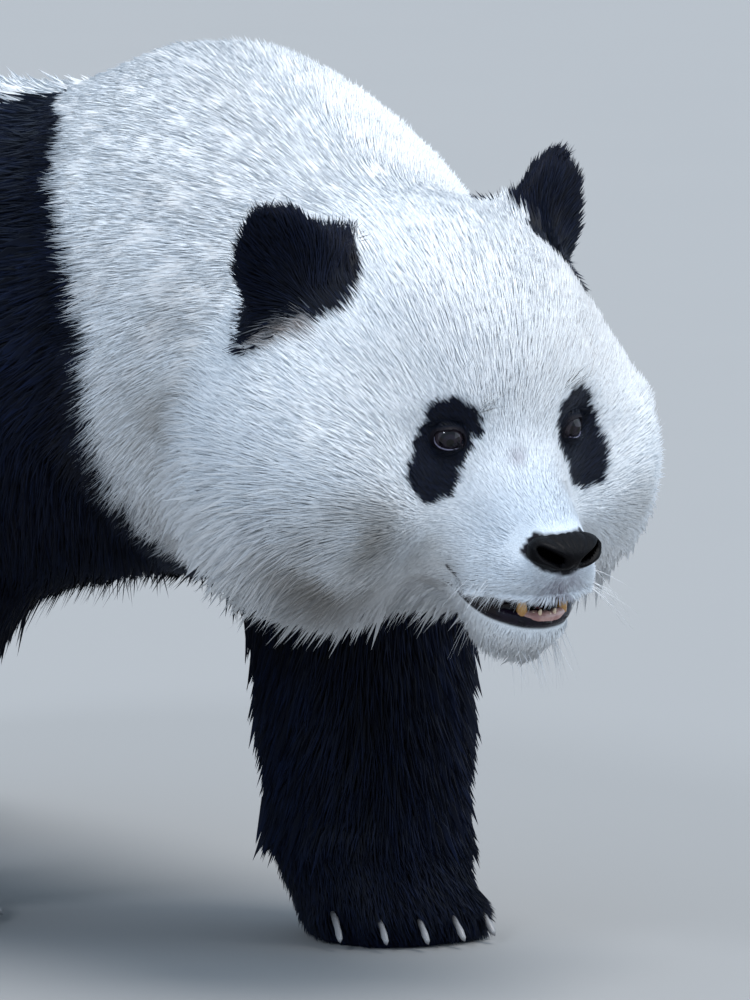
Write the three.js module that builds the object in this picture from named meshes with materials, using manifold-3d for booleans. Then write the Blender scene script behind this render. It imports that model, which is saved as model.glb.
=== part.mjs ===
// A life-size giant panda, walking with its head lowered and its mouth a little open, as closed
// solids that meet with thin gaps. Millimetres, +X towards the head, +Y to the animal's left, +Z up.
// The outer faces lie at the tips of the coat, and the four soles are flat, at z = 0.
//
// Each region of the body is a set of soft forms (ellipsoids and tapered limbs) that flow into one
// another. The joined form is meshed at a size that suits the region, and parted by straight cuts.
import * as THREE from "three";
import { edgeTable, triTable } from "three/addons/objects/MarchingCubes.js";
import { mergeVertices } from "three/addons/utils/BufferGeometryUtils.js";
import Module from "manifold-3d";

const wasm = await Module();
wasm.setup();

// ---------------------------------------------------------------- driving dimensions

const GAP = 0.4; // between solids that touch
const FAR = 900; // past the edge of the body, for the blocks that cut it

// The size of the mesh's cells on each region, and the width of the fillets where forms meet.
const CELL = { trunk: 62, neck: 46, head: 25, jaw: 15, ear: 16.5, leg: 44, paw: 26, tail: 36, nose: 9 };
const BLEND = {
  trunk: 90,
  head: 34,
  face: 24,
  ear: 14,
  cup: 10,
  leg: 44,
  joint: 28,
  ankle: 36,
  paw: 22,
  toe: 10,
  tail: 30,
};

const HEAD_AT = [344, 0, 416]; // the middle of the skull
const HEAD_TURN = { yaw: 0.5, pitch: 20, roll: 1.5 }; // degrees: to its left, nose down, left side up

const HEAD_FROM = -85; // where the neck begins, along the head's own length
const CHEST_FROM = -150;
const RUMP_FROM = -450;
const SLANT = 38; // degrees: how the legs' upper cuts slope up and out

// Lengths inside the head are in its own axes: forward, to its left, and up.
// Each ear has the middle of its root, and three directions: out of the skull, to its tip, and the
// way its hollow faces.
const EARS = {
  left: {
    base: [-45, 94, 82],
    out: [-0.17, 0.75, 0.64],
    up: [-0.32, 0.3, 0.9],
    face: [0.93, 0.28, 0.1],
  },
  right: {
    base: [-36, -105, 73],
    out: [-0.17, -0.75, 0.64],
    up: [-0.3, -0.55, 0.78],
    face: [0.8, -0.5, 0.1],
  },
};
const EAR = { width: 42, height: 58, thick: 21, rise: 5, reach: 62 };

const EYE = { radius: 11.5, at: [79, 50, 15], looks: [0.8, 0.56, 0.05], rim: 17, depth: 26 };
const NOSE = { at: [167, 0, -38], size: [16, 30, 16], nostril: [184, 13, -40] };
const NOSTRIL = [12, 6, 4.5];
const MOUTH = { corner: [110, -87], upper: 15, lower: -3, length: 90, width: 200 }; // lips in degrees
const ROOTED = 7; // how far the teeth go down into the jaw
const CANINE = { at: [157, 16.5], height: 17, radius: 4.4, tip: 1.1 };
const INCISOR = { at: 162, spacing: 5.6, height: 7, radius: 2.4 };
const TONGUE = { at: [143, 0, -90], size: [16, 12, 6] };

// The paws' middles on the floor, and the way they point, in degrees from straight ahead.
const PAW = { length: 156, width: 132, height: 76, top: 84 };
const PAWS = {
  fore_left: { at: [98, 128], turn: -16 },
  fore_right: { at: [-168, -142], turn: 14 },
  hind_left: { at: [-742, 150], turn: -12 },
  hind_right: { at: [-545, -152], turn: 14 },
};
// Five toes along the front of each paw, on an arc.
const TOE = { length: 27, width: 15, thick: 17, height: 20 };
const TOES = [-2, -1, 0, 1, 2].map((n) => ({ x: 62 - 5.5 * n * n, y: n * 26.5, spread: n * 6 }));
const CLAW = {
  length: 42,
  radius: 4.6,
  deep: 1.25, // its height over its width
  sides: 5,
  rings: [[0, 0], [0, 1], [0.55, 0.78], [1, 0]], // how far along, and how wide there
  droop: 13,
  set: -4,
  rise: 6,
  tilt: 14,
  out: [1, 0, 0.25], // the way that a claw leaves the toe
};

// ---------------------------------------------------------------- soft forms

const rad = THREE.MathUtils.degToRad;
const clamp = THREE.MathUtils.clamp;

// About the distance from an ellipsoid with these half-sizes, turned by degrees about X, Y and Z.
function ball([cx, cy, cz], [rx, ry, rz], [ax, ay, az] = [0, 0, 0]) {
  const euler = new THREE.Euler(rad(ax), rad(ay), rad(az), "ZYX");
  const e = new THREE.Matrix4().makeRotationFromEuler(euler).transpose().elements;
  return (x, y, z) => {
    const dx = x - cx;
    const dy = y - cy;
    const dz = z - cz;
    const px = (e[0] * dx + e[4] * dy + e[8] * dz) / rx;
    const py = (e[1] * dx + e[5] * dy + e[9] * dz) / ry;
    const pz = (e[2] * dx + e[6] * dy + e[10] * dz) / rz;
    const k = Math.hypot(px, py, pz);
    const g = Math.hypot(px / rx, py / ry, pz / rz);
    return g > 1e-9 ? (k * (k - 1)) / g : -Math.min(rx, ry, rz);
  };
}

// A limb from a to b whose radius goes from ra to rb.
function limb(a, b, ra, rb) {
  const [bx, by, bz] = b.map((v, i) => v - a[i]);
  const span = bx * bx + by * by + bz * bz;
  return (x, y, z) => {
    const dx = x - a[0];
    const dy = y - a[1];
    const dz = z - a[2];
    const t = clamp((dx * bx + dy * by + dz * bz) / span, 0, 1);
    return Math.hypot(dx - bx * t, dy - by * t, dz - bz * t) - (ra + (rb - ra) * t);
  };
}

// Two distances joined with a fillet about as wide as k.
function blend(k, a, b) {
  const h = Math.max(k - Math.abs(a - b), 0) / k;
  return Math.min(a, b) - (h * h * k) / 4;
}

const flow = (k, ...forms) => (x, y, z) => forms.reduce((d, f) => blend(k, d, f(x, y, z)), 1e6);
const both = (...forms) => (x, y, z) => Math.max(...forms.map((f) => f(x, y, z)));
const hollowed = (k, form, hollow) => (x, y, z) => -blend(k, -form(x, y, z), hollow(x, y, z));
const pair = (form) => [form, (x, y, z) => form(x, -y, z)];
const posed = (form, inverse) => {
  const e = inverse.elements;
  return (x, y, z) =>
    form(
      e[0] * x + e[4] * y + e[8] * z + e[12],
      e[1] * x + e[5] * y + e[9] * z + e[13],
      e[2] * x + e[6] * y + e[10] * z + e[14],
    );
};

// ---------------------------------------------------------------- from forms to solids

const CORNERS = [
  [0, 0, 0],
  [1, 0, 0],
  [1, 1, 0],
  [0, 1, 0],
  [0, 0, 1],
  [1, 0, 1],
  [1, 1, 1],
  [0, 1, 1],
];
const EDGES = [0, 1, 2, 3, 4, 5, 6, 7, 0, 1, 2, 3].map((a, i) => [
  a,
  i < 4 ? (a + 1) % 4 : i < 8 ? 4 + ((a + 1) % 4) : a + 4,
]);
const LEAST_STEP = 0.06; // of a cell: keeps corners apart, so that no triangle is a sliver
const RELAXING_ROUNDS = 4;

// The closed surface where the form's distance is zero, inside the box from low to high.
function surfaceOf(form, low, high, cell) {
  const size = low.map((v, i) => Math.ceil((high[i] - v) / cell) + 1);
  const walls = (x, y, z) =>
    Math.max(low[0] - x, x - high[0], low[1] - y, y - high[1], low[2] - z, z - high[2]) + cell * 0.6;
  const inside = both(form, walls);
  const at = (i, j, k) => i + size[0] * (j + size[1] * k);
  const values = new Float32Array(size[0] * size[1] * size[2]);
  for (let k = 0; k < size[2]; k++)
    for (let j = 0; j < size[1]; j++)
      for (let i = 0; i < size[0]; i++)
        values[at(i, j, k)] = inside(low[0] + i * cell, low[1] + j * cell, low[2] + k * cell);

  const points = [];
  const found = new Map();
  function crossing(i, j, k, edge) {
    const [a, b] = EDGES[edge].map((c) => CORNERS[c].map((v, n) => v + [i, j, k][n]));
    const [ia, ib] = [at(...a), at(...b)];
    const key = Math.min(ia, ib) * values.length + Math.max(ia, ib);
    if (!found.has(key)) {
      const t = clamp(values[ia] / (values[ia] - values[ib]), LEAST_STEP, 1 - LEAST_STEP);
      found.set(key, points.length);
      points.push(a.map((v, n) => low[n] + (v + (b[n] - v) * t) * cell));
    }
    return found.get(key);
  }

  const triangles = [];
  for (let k = 0; k < size[2] - 1; k++)
    for (let j = 0; j < size[1] - 1; j++)
      for (let i = 0; i < size[0] - 1; i++) {
        let kind = 0;
        CORNERS.forEach(([a, b, c], bit) => {
          if (values[at(i + a, j + b, k + c)] < 0) kind |= 1 << bit;
        });
        if (!edgeTable[kind]) continue;
        for (let n = kind * 16; triTable[n] !== -1; n += 3)
          triangles.push([0, 1, 2].map((m) => crossing(i, j, k, triTable[n + m])));
      }
  relax(points, triangles, inside);
  return geometryFrom(points, triangles);
}

// Evens out the triangles: each corner goes towards the middle of its neighbours, then back onto
// the form.
function relax(points, triangles, form) {
  const near = points.map(() => new Set());
  for (const t of triangles)
    t.forEach((v, n) => near[v].add(t[(n + 1) % 3]).add(t[(n + 2) % 3]));
  for (let round = 0; round < RELAXING_ROUNDS; round++) {
    const moved = points.map((p, v) =>
      p.map((c, n) => {
        let sum = 0;
        for (const w of near[v]) sum += points[w][n];
        return (c + sum / near[v].size) / 2;
      }),
    );
    moved.forEach((p, v) => {
      points[v] = settled(form, p);
    });
  }
}

function settled(form, [x, y, z]) {
  const d = form(x, y, z);
  const slope = [form(x + 1, y, z) - d, form(x, y + 1, z) - d, form(x, y, z + 1) - d];
  const steep = Math.max(slope[0] ** 2 + slope[1] ** 2 + slope[2] ** 2, 0.25);
  return [x, y, z].map((c, n) => c - (d * slope[n]) / steep);
}

function geometryFrom(points, triangles) {
  const geometry = new THREE.BufferGeometry();
  geometry.setAttribute("position", new THREE.Float32BufferAttribute(points.flat(), 3));
  geometry.setIndex(triangles.flat());
  return geometry;
}

// A three.js geometry as a solid, facing out.
function solid(geometry) {
  const bare = geometry.clone();
  bare.deleteAttribute("normal");
  bare.deleteAttribute("uv");
  const merged = mergeVertices(bare, 1e-4);
  const triVerts = new Uint32Array(merged.index.array);
  const vertProperties = merged.attributes.position.array;
  const made = (indices) =>
    new wasm.Manifold(new wasm.Mesh({ numProp: 3, vertProperties, triVerts: indices }));
  const first = made(triVerts);
  return first.volume() > 0 ? first : made(triVerts.slice().reverse());
}

function geometryOf(manifold) {
  const mesh = manifold.getMesh();
  const geometry = new THREE.BufferGeometry();
  const position = new Float32Array(mesh.numVert * 3);
  for (let i = 0; i < mesh.numVert; i++)
    position.set(mesh.vertProperties.subarray(i * mesh.numProp, i * mesh.numProp + 3), i * 3);
  geometry.setAttribute("position", new THREE.BufferAttribute(position, 3));
  geometry.setIndex(new THREE.BufferAttribute(mesh.triVerts, 1));
  geometry.computeVertexNormals();
  return geometry;
}

const formSolid = (form, low, high, cell) => solid(surfaceOf(form, low, high, cell));
const placed = (matrix, manifold) => solid(geometryOf(manifold).applyMatrix4(matrix));

// A frame at a point, turned by degrees about X, Y and Z.
function frame(at, turn = [0, 0, 0]) {
  const euler = new THREE.Euler(...turn.map(rad), "ZYX");
  return new THREE.Matrix4().makeRotationFromEuler(euler).setPosition(...at);
}

// A block between two corners in a frame, grown by a gap on every side.
function block(at, low, high, grow = 0) {
  const geometry = new THREE.BoxGeometry(...low.map((v, i) => high[i] - v + 2 * grow));
  geometry.translate(...low.map((v, i) => (v + high[i]) / 2));
  return solid(geometry.applyMatrix4(at));
}

// ---------------------------------------------------------------- the trunk and neck

const trunkForm = flow(
  BLEND.trunk,
  ball([-102, 0, 438], [205, 202, 177]), // chest
  ball([-360, 0, 408], [290, 238, 213]), // belly
  ball([-610, 0, 404], [225, 222, 204]), // rump
  ball([68, 0, 496], [130, 132, 156]), // withers
  ball([60, 112, 396], [100, 82, 120], [0, 12, 0]), // shoulders
  ball([35, -116, 405], [100, 82, 112], [0, 20, 0]),
);
const neckForm = flow(
  BLEND.trunk,
  ball([115, 0, 458], [150, 148, 154]),
  ball([205, 0, 428], [140, 146, 148], [0, 20, 0]),
);
const coreForm = flow(BLEND.trunk, trunkForm, neckForm);

// ---------------------------------------------------------------- the head, in its own axes

const skullForm = flow(
  BLEND.head,
  ball([-30, 0, 20], [126, 128, 116]),
  ball([12, 0, 40], [74, 84, 72]), // forehead
  ball([-40, 0, -70], [100, 110, 78]), // throat
  ...pair(ball([-7, 92, -45], [112, 85, 100])), // cheeks
);
const upperMuzzleForm = flow(
  BLEND.face,
  limb([56, 0, -27], [142, 0, -48], 54, 36),
  ...pair(ball([123, 26, -68], [46, 26, 22])), // upper lips
);
const jawForm = flow(
  BLEND.face,
  limb([20, 0, -84], [128, 0, -96], 48, 25),
  ball([133, 0, -104], [35, 33, 18]), // chin
);
const fullHeadForm = flow(BLEND.face, skullForm, flow(BLEND.paw, upperMuzzleForm, jawForm));
const orbits = pair(ball([118, 74, 16], [32, 28, 26])); // the hollows that the eyes look out of
const bareHeadForm = orbits.reduce((form, orbit) => hollowed(BLEND.face, form, orbit), fullHeadForm);

const HEAD_FRAME = frame(HEAD_AT, [HEAD_TURN.roll, HEAD_TURN.pitch, HEAD_TURN.yaw]);
const headInBody = posed(bareHeadForm, HEAD_FRAME.clone().invert());
const bodyInHead = posed(coreForm, HEAD_FRAME);

// The way each ear points and the way its hollow faces. Its own X goes forward and its Z to the tip.
function earFrame({ base, up, face }) {
  const z = new THREE.Vector3(...up).normalize();
  const y = new THREE.Vector3().crossVectors(z, new THREE.Vector3(...face)).normalize();
  const x = new THREE.Vector3().crossVectors(y, z);
  return new THREE.Matrix4().makeBasis(x, y, z).setPosition(...base);
}
function earForm(ear) {
  const pinna = ball([0, 0, EAR.height * 0.42], [EAR.thick, EAR.width, EAR.height]);
  const hollow = ball([EAR.thick + 13, 0, EAR.height * 0.5], [22, EAR.width * 0.6, EAR.height * 0.62]);
  return posed(hollowed(BLEND.cup, pinna, hollow), earFrame(ear).invert());
}
const earedForm = flow(BLEND.ear, bareHeadForm, ...Object.values(EARS).map(earForm));
const headForm = flow(BLEND.head, bodyInHead, earedForm);

// ---------------------------------------------------------------- the legs and the tail

// Each leg runs from the shoulder or hip to the wrist or ankle: [from, to, radius there, radius here].
const LEGS = {
  fore_left: [
    [[55, 124, 385], [42, 140, 285], 95, 87],
    [[42, 140, 285], [72, 130, 92], 87, 75],
  ],
  fore_right: [
    [[35, -124, 405], [-78, -146, 305], 86, 80],
    [[-78, -146, 305], [-206, -142, 98], 80, 66],
  ],
  hind_left: [
    [[-635, 95, 352], [-618, 158, 240], 146, 104],
    [[-618, 158, 240], [-765, 152, 92], 102, 66],
  ],
  hind_right: [
    [[-625, -95, 352], [-535, -158, 244], 146, 104],
    [[-535, -158, 244], [-585, -152, 90], 102, 68],
  ],
};

const pawFrame = ({ at, turn }) => frame([...at, 0], [0, 0, turn]);
function pawForm(paw) {
  const [length, width] = [PAW.length / 2, PAW.width / 2];
  const pad = flow(
    BLEND.paw,
    ball([-length * 0.25, 0, 34], [length * 0.72, width * 0.84, PAW.height * 0.62]),
    ball([length * 0.3, 0, 26], [length * 0.6, width * 0.94, PAW.height * 0.48]),
  );
  const toeSize = [TOE.length, TOE.width, TOE.thick];
  const toes = TOES.map(({ x, y }) => ball([x - TOE.length * 0.3, y, TOE.height], toeSize));
  return posed(flow(BLEND.toe, pad, ...toes), pawFrame(paw).invert());
}

const legForms = Object.entries(LEGS).map(([name, lengths]) =>
  flow(BLEND.ankle, flow(BLEND.joint, ...lengths.map((l) => limb(...l))), pawForm(PAWS[name])),
);
const tailForm = flow(
  BLEND.tail,
  limb([-800, 0, 425], [-838, 0, 335], 50, 40),
  ball([-844, 0, 322], [32, 42, 48]),
);
const bodyForm = flow(
  BLEND.tail,
  flow(BLEND.leg, flow(BLEND.head, coreForm, headInBody), ...legForms),
  tailForm,
);

// ---------------------------------------------------------------- cuts

const AHEAD = [[0, -FAR, -FAR], [FAR, FAR, FAR]];
const ORIGIN = frame([0, 0, 0]);
const beyondNeck = (grow) => block(HEAD_FRAME, [HEAD_FROM, -FAR, -FAR], [FAR, FAR, FAR], grow);
const beyondChest = (grow) => block(frame([150, 0, 450], [0, 12, 0]), ...AHEAD, grow);
const behind = (x, grow) => block(frame([x, 0, 0]), [-2 * FAR, -FAR, -FAR], [0, FAR, FAR], grow);
const behindTailRoot = (grow) =>
  block(frame([-836, 0, 385], [0, 8, 0]), [-FAR, -86, -140], [0, 86, 100], grow);
const level = (low, high, grow) => block(ORIGIN, [-2 * FAR, -FAR, low], [FAR, FAR, high], grow);
// Round each ear: a block that stands on the skull, square to its surface.
function earSpace({ base, out }, grow) {
  const z = new THREE.Vector3(...out).normalize();
  const x = new THREE.Vector3(1, 0, 0).projectOnPlane(z).normalize();
  const y = new THREE.Vector3().crossVectors(z, x);
  const root = new THREE.Matrix4().makeBasis(x, y, z).setPosition(...base);
  return block(root, [-EAR.reach, -EAR.reach, EAR.rise], [EAR.reach, EAR.reach, FAR / 4], grow);
}
const earSpaces = (grow) => Object.values(EARS).map((ear) => earSpace(ear, grow));

// Round each leg: the space outside an upright plane, and under one that slants up and out.
const LEG_SPACES = {
  fore_left: { at: [60, 48, 330], lean: 4, back: -140, front: 130 },
  fore_right: { at: [20, -48, 330], lean: 38, back: -125, front: 135 },
  hind_left: { at: [-640, 45, 325], lean: 0, back: -215, front: 160 },
  hind_right: { at: [-600, -45, 325], lean: 4, back: -185, front: 190 },
};
function legSpace({ at, lean, back, front }, grow) {
  const side = Math.sign(at[1]);
  const [right, left] = side > 0 ? [0, FAR] : [-FAR, 0];
  const outer = block(frame(at, [0, lean, 0]), [back, right, -FAR], [front, left, FAR], grow);
  const under = block(frame(at, [side * SLANT, lean, 0]), [back, -FAR, -FAR], [front, FAR, 0], grow);
  return outer.intersect(under);
}
const legSpaces = (grow) => Object.values(LEG_SPACES).map((space) => legSpace(space, grow));
const without = (manifold, others) => others.reduce((rest, other) => rest.subtract(other), manifold);

// ---------------------------------------------------------------- the model

const COATS = {
  white: { color: 0xd9d8d2, roughness: 0.9 },
  black: { color: 0x16171c, roughness: 0.85 },
  leather: { color: 0x1a1618, roughness: 0.45 },
  eye: { color: 0x1c1310, roughness: 0.08 },
  tongue: { color: 0xb0716c, roughness: 0.4 },
  claw: { color: 0xb9b4a6, roughness: 0.4 },
};

const body = new THREE.Group();
const head = new THREE.Group();
head.applyMatrix4(HEAD_FRAME);
body.add(head);

function add(name, manifold, coat, group = body) {
  const mesh = new THREE.Mesh(geometryOf(manifold), new THREE.MeshStandardMaterial(COATS[coat]));
  mesh.name = name;
  group.add(mesh);
}

function addTrunk() {
  const whole = formSolid(bodyForm, [-900, -300, 120], [60, 300, 720], CELL.trunk);
  const fore = formSolid(bodyForm, [-290, -300, 120], [420, 300, 720], CELL.neck);
  const spaces = [...legSpaces(GAP), behindTailRoot(GAP)];
  const parted = (manifold) => without(manifold, spaces);
  add("rump", parted(whole.intersect(behind(RUMP_FROM, 0))), "white");
  const middle = whole.intersect(behind(CHEST_FROM, 0)).subtract(behind(RUMP_FROM, GAP));
  add("belly", parted(middle), "white");
  add("chest", parted(fore.subtract(behind(CHEST_FROM, GAP)).subtract(beyondChest(GAP))), "black");
  const nape = fore.intersect(beyondChest(0)).subtract(beyondNeck(GAP));
  const ears = earSpaces(GAP).map((space) => placed(HEAD_FRAME, space));
  add("neck", parted(without(nape, ears)), "white");
  const rear = formSolid(bodyForm, [-910, -120, 220], [-780, 120, 520], CELL.tail);
  add("tail", rear.intersect(behindTailRoot(0)), "white");
}

function addLegs() {
  for (const [name, space] of Object.entries(LEG_SPACES)) {
    const [end, side] = name.split("_");
    const [x, y] = PAWS[name].at;
    const hip = space.at[0];
    const [right, left] = y > 0 ? [0, 320] : [-320, 0];
    const [low, high] = [[Math.min(x, hip) - 240, right, -60], [Math.max(x, hip) + 240, left, 640]];
    const whole = formSolid(bodyForm, low, high, CELL.leg).intersect(legSpace(space, 0));
    add(`${end}leg_${side}`, without(whole, [level(-FAR, PAW.top, GAP), behindTailRoot(GAP)]), "black");

    const reach = [[x - 120, y - 110, -60], [x + 120, y + 110, PAW.top + 60]];
    const foot = formSolid(bodyForm, ...reach, CELL.paw);
    const paw = foot.intersect(level(0, PAW.top, 0)).intersect(legSpace(space, 0));
    add(`${end}paw_${side}`, paw, "black");
    addClaws(`${end}_${side}`, PAWS[name], paw);
  }
}

// A claw points along +X and bends down to its tip.
function clawGeometry() {
  const profile = CLAW.rings.map(
    ([along, wide]) => new THREE.Vector2(wide * CLAW.radius, along * CLAW.length),
  );
  const geometry = new THREE.LatheGeometry(profile, CLAW.sides);
  geometry.rotateZ(-Math.PI / 2);
  const position = geometry.attributes.position;
  for (let i = 0; i < position.count; i++) {
    const along = position.getX(i) / CLAW.length;
    position.setZ(i, position.getZ(i) * CLAW.deep - CLAW.droop * along * along);
  }
  return geometry;
}

function addClaws(name, paw, pawSolid) {
  TOES.forEach(({ x, y, spread }, n) => {
    const root = frame([x + CLAW.set, y, TOE.height + CLAW.rise], [0, CLAW.tilt, spread]);
    const at = root.premultiply(pawFrame(paw));
    const claw = solid(clawGeometry().applyMatrix4(at));
    const out = new THREE.Vector3(...CLAW.out).transformDirection(at).multiplyScalar(GAP * 1.5);
    add(`claw_${name}_${n + 1}`, claw.subtract(pawSolid.translate(out.toArray())), "claw");
  });
}

// The eyes' frames: X looks out.
function eyeFrame(side) {
  const [forward, aside, up] = EYE.at;
  const x = new THREE.Vector3(EYE.looks[0], side * EYE.looks[1], EYE.looks[2]).normalize();
  const y = new THREE.Vector3(0, 0, 1).cross(x).normalize();
  const z = new THREE.Vector3().crossVectors(x, y);
  return new THREE.Matrix4().makeBasis(x, y, z).setPosition(forward, side * aside, up);
}
function eyeball(side, grow) {
  const geometry = new THREE.SphereGeometry(EYE.radius + grow, 12, 7);
  return solid(geometry.rotateZ(Math.PI / 2).applyMatrix4(eyeFrame(side)));
}
function eyeSocket(side) {
  const cone = new THREE.CylinderGeometry(EYE.rim, EYE.radius * 0.6, EYE.depth, 14);
  cone.rotateZ(-Math.PI / 2).translate(EYE.depth / 2, 0, 0).applyMatrix4(eyeFrame(side));
  return eyeball(side, 2 * GAP).add(solid(cone));
}

// The nose pad, with or without its nostrils.
const nosePad = (grow) => ball(NOSE.at, NOSE.size.map((v) => v + grow));
const nostrils = pair(ball(NOSE.nostril, NOSTRIL, [-20, 0, 20]));
const noseForm = nostrils.reduce((form, nostril) => hollowed(2, form, nostril), nosePad(0));
function noseSolid(form) {
  const reach = NOSE.size.map((v) => v + 14);
  const low = NOSE.at.map((v, i) => v - reach[i]);
  const high = NOSE.at.map((v, i) => v + reach[i]);
  return formSolid(form, low, high, CELL.nose);
}

// The mouth: the jaw's space below the lower lips' line, and the open wedge above it.
const mouthFrame = frame([MOUTH.corner[0], 0, MOUTH.corner[1]], [0, -MOUTH.lower, 0]);
const jawSpace = (grow) => block(mouthFrame, [0, -FAR, -FAR], [FAR, FAR, 0], grow);
function openMouth() {
  const lips = [MOUTH.upper, MOUTH.lower].map((angle) => MOUTH.length * Math.tan(rad(angle)));
  const corners = lips.map((z) => new THREE.Vector2(MOUTH.length, z));
  const wedge = new THREE.Shape([new THREE.Vector2(-2, 0), ...corners]);
  const geometry = new THREE.ExtrudeGeometry(wedge, { depth: MOUTH.width, bevelEnabled: false });
  geometry.rotateX(Math.PI / 2).translate(MOUTH.corner[0], MOUTH.width / 2, MOUTH.corner[1]);
  return solid(geometry);
}
function teeth() {
  const peg = (x, y, { height, radius, tip = radius * 0.8 }) => {
    const geometry = new THREE.CylinderGeometry(tip, radius, height, 6);
    geometry.rotateX(Math.PI / 2).translate(x, y, MOUTH.corner[1] - ROOTED + height / 2);
    return solid(geometry);
  };
  const [x, aside] = CANINE.at;
  const canines = [-1, 1].map((side) => peg(x, side * aside, CANINE));
  const incisors = [-1.5, -0.5, 0.5, 1.5].map((n) => peg(INCISOR.at, n * INCISOR.spacing, INCISOR));
  return [...canines, ...incisors];
}

// Adds what the face holds, and returns the openings that it leaves in the head.
function addFace() {
  const muzzle = formSolid(headForm, [85, -90, -150], [200, 90, 10], CELL.jaw);
  const jaw = muzzle.intersect(jawSpace(0));
  add("jaw", teeth().reduce((all, tooth) => all.add(tooth), jaw), "white", head);
  const tongue = new THREE.SphereGeometry(1, 10, 6).scale(...TONGUE.size).translate(...TONGUE.at);
  add("tongue", solid(tongue).subtract(jawSpace(GAP)), "tongue", head);
  add("nose", noseSolid(noseForm), "leather", head);
  add("eye_left", eyeball(1, 0), "eye", head);
  add("eye_right", eyeball(-1, 0), "eye", head);
  return [jawSpace(GAP), openMouth(), noseSolid(nosePad(4 * GAP)), eyeSocket(1), eyeSocket(-1)];
}

function addHead() {
  const whole = formSolid(headForm, [HEAD_FROM - 40, -210, -190], [200, 210, 190], CELL.head);
  const ahead = block(frame([HEAD_FROM, 0, 0]), ...AHEAD);
  add("head", without(whole.intersect(ahead), [...earSpaces(GAP), ...addFace()]), "white", head);
  for (const [side, ear] of Object.entries(EARS)) {
    const [x, y, z] = ear.base;
    const reach = [[x - 120, y - 110, z - 60], [x + 90, y + 110, z + 140]];
    const pinna = formSolid(earedForm, ...reach, CELL.ear);
    add(`ear_${side}`, pinna.intersect(earSpace(ear, 0)), "black", head);
  }
}

addTrunk();
addLegs();
addHead();

// The origin is on the floor, under the middle of the whole body.
body.updateMatrixWorld(true);
const bounds = new THREE.Box3().setFromObject(body, true);
const middle = bounds.getCenter(new THREE.Vector3());
body.position.set(-middle.x, -middle.y, -bounds.min.z);
const panda = new THREE.Group();
panda.add(body);

export default panda;
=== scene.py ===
"""A life-size giant panda, walking with its head lowered and its mouth a little open.

One skin stands for all the nodes of flesh and lies inside them by the coat's depth. Over it lie
solid tufts of fur, and the eyes, nose, lips, teeth, tongue and claws are pieces of their own.
Metres, +X towards the head, +Y to the animal's left, +Z up, with the soles at z = 0.
"""

import math

import bmesh
import bpy
import numpy as np
from mathutils import Matrix, Vector
from mathutils.bvhtree import BVHTree


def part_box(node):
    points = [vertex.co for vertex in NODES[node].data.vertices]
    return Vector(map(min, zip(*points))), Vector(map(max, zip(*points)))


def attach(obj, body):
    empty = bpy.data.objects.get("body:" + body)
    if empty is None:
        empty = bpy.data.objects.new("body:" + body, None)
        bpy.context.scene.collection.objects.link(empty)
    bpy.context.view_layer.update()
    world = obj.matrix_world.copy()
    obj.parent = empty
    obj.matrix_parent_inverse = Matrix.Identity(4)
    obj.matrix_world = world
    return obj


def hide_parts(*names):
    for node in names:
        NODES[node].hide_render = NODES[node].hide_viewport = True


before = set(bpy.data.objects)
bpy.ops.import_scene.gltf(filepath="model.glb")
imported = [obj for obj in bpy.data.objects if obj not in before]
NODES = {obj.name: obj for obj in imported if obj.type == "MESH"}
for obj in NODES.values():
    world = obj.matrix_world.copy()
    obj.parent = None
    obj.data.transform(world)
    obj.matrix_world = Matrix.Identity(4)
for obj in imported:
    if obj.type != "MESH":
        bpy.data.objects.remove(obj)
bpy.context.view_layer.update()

bl_info = {
    "name": "Giant panda",
    "version": (1, 0, 0),
    "blender": (4, 5, 0),
    "location": "View3D > Sidebar > Panda",
    "description": "Builds the skin, coat, eyes, nose, mouth and claws of a life-size giant panda",
    "category": "Object",
}

PARTS_OF_FLESH = ("head", "jaw", "ear", "neck", "chest", "belly", "rump", "tail", "foreleg")
PARTS_OF_FLESH += ("hindleg", "forepaw", "hindpaw")
FLESH = sorted(n for n in NODES if n.startswith(PARTS_OF_FLESH))
SIDES = {"left": 1, "right": -1}


# ---------------------------------------------------------------- arrays of points


def unit(vectors):
    return vectors / np.maximum(np.linalg.norm(vectors, axis=-1, keepdims=True), 1e-9)


def ramp(low, high, value):
    """0 up to low, 1 from high, and a smooth rise between."""
    t = np.clip((value - low) / (high - low), 0, 1)
    return t * t * (3 - 2 * t)


def between(a, b, share):
    return a + (b - a) * share


def near(points, centre, radius):
    """1 at the centre of a soft ball, 0 outside it."""
    return 1 - ramp(0, radius, np.linalg.norm(points - np.array(centre), axis=1))


def ripple(points, size, seed):
    """Smooth noise from -1 to 1, whose bumps are about this size."""
    place = points / size + 31.7 * seed
    cell = np.floor(place).astype(np.int64)
    t = place - cell
    t = t * t * (3 - 2 * t)
    total = np.zeros(len(points))
    for corner in np.ndindex(2, 2, 2):
        c = cell + np.array(corner)
        code = (c[:, 0] * 73856093) ^ (c[:, 1] * 19349663) ^ (c[:, 2] * 83492791) ^ (seed * 7919)
        code = (code ^ (code >> 13)) * 1274126177
        value = ((code >> 7) & 0xFFFF) / 0x7FFF - 1
        total += value * np.where(np.array(corner), t, 1 - t).prod(axis=1)
    return total


def ripples(points, size, seed):
    """Three such noises, as a vector."""
    return np.stack([ripple(points, size, seed + n) for n in range(3)], axis=1)


class Axes:
    """A place with its own forward, left and up."""

    def __init__(self, origin, forward, left):
        self.origin = Vector(origin)
        x = Vector(forward).normalized()
        z = x.cross(Vector(left)).normalized()
        self.matrix = np.array((x, z.cross(x), z))

    def local(self, points):
        return (points - np.array(self.origin)) @ self.matrix.T

    def world(self, points):
        return np.array(points) @ self.matrix + np.array(self.origin)

    def turned(self, vectors):
        return np.array(vectors) @ self.matrix


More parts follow.
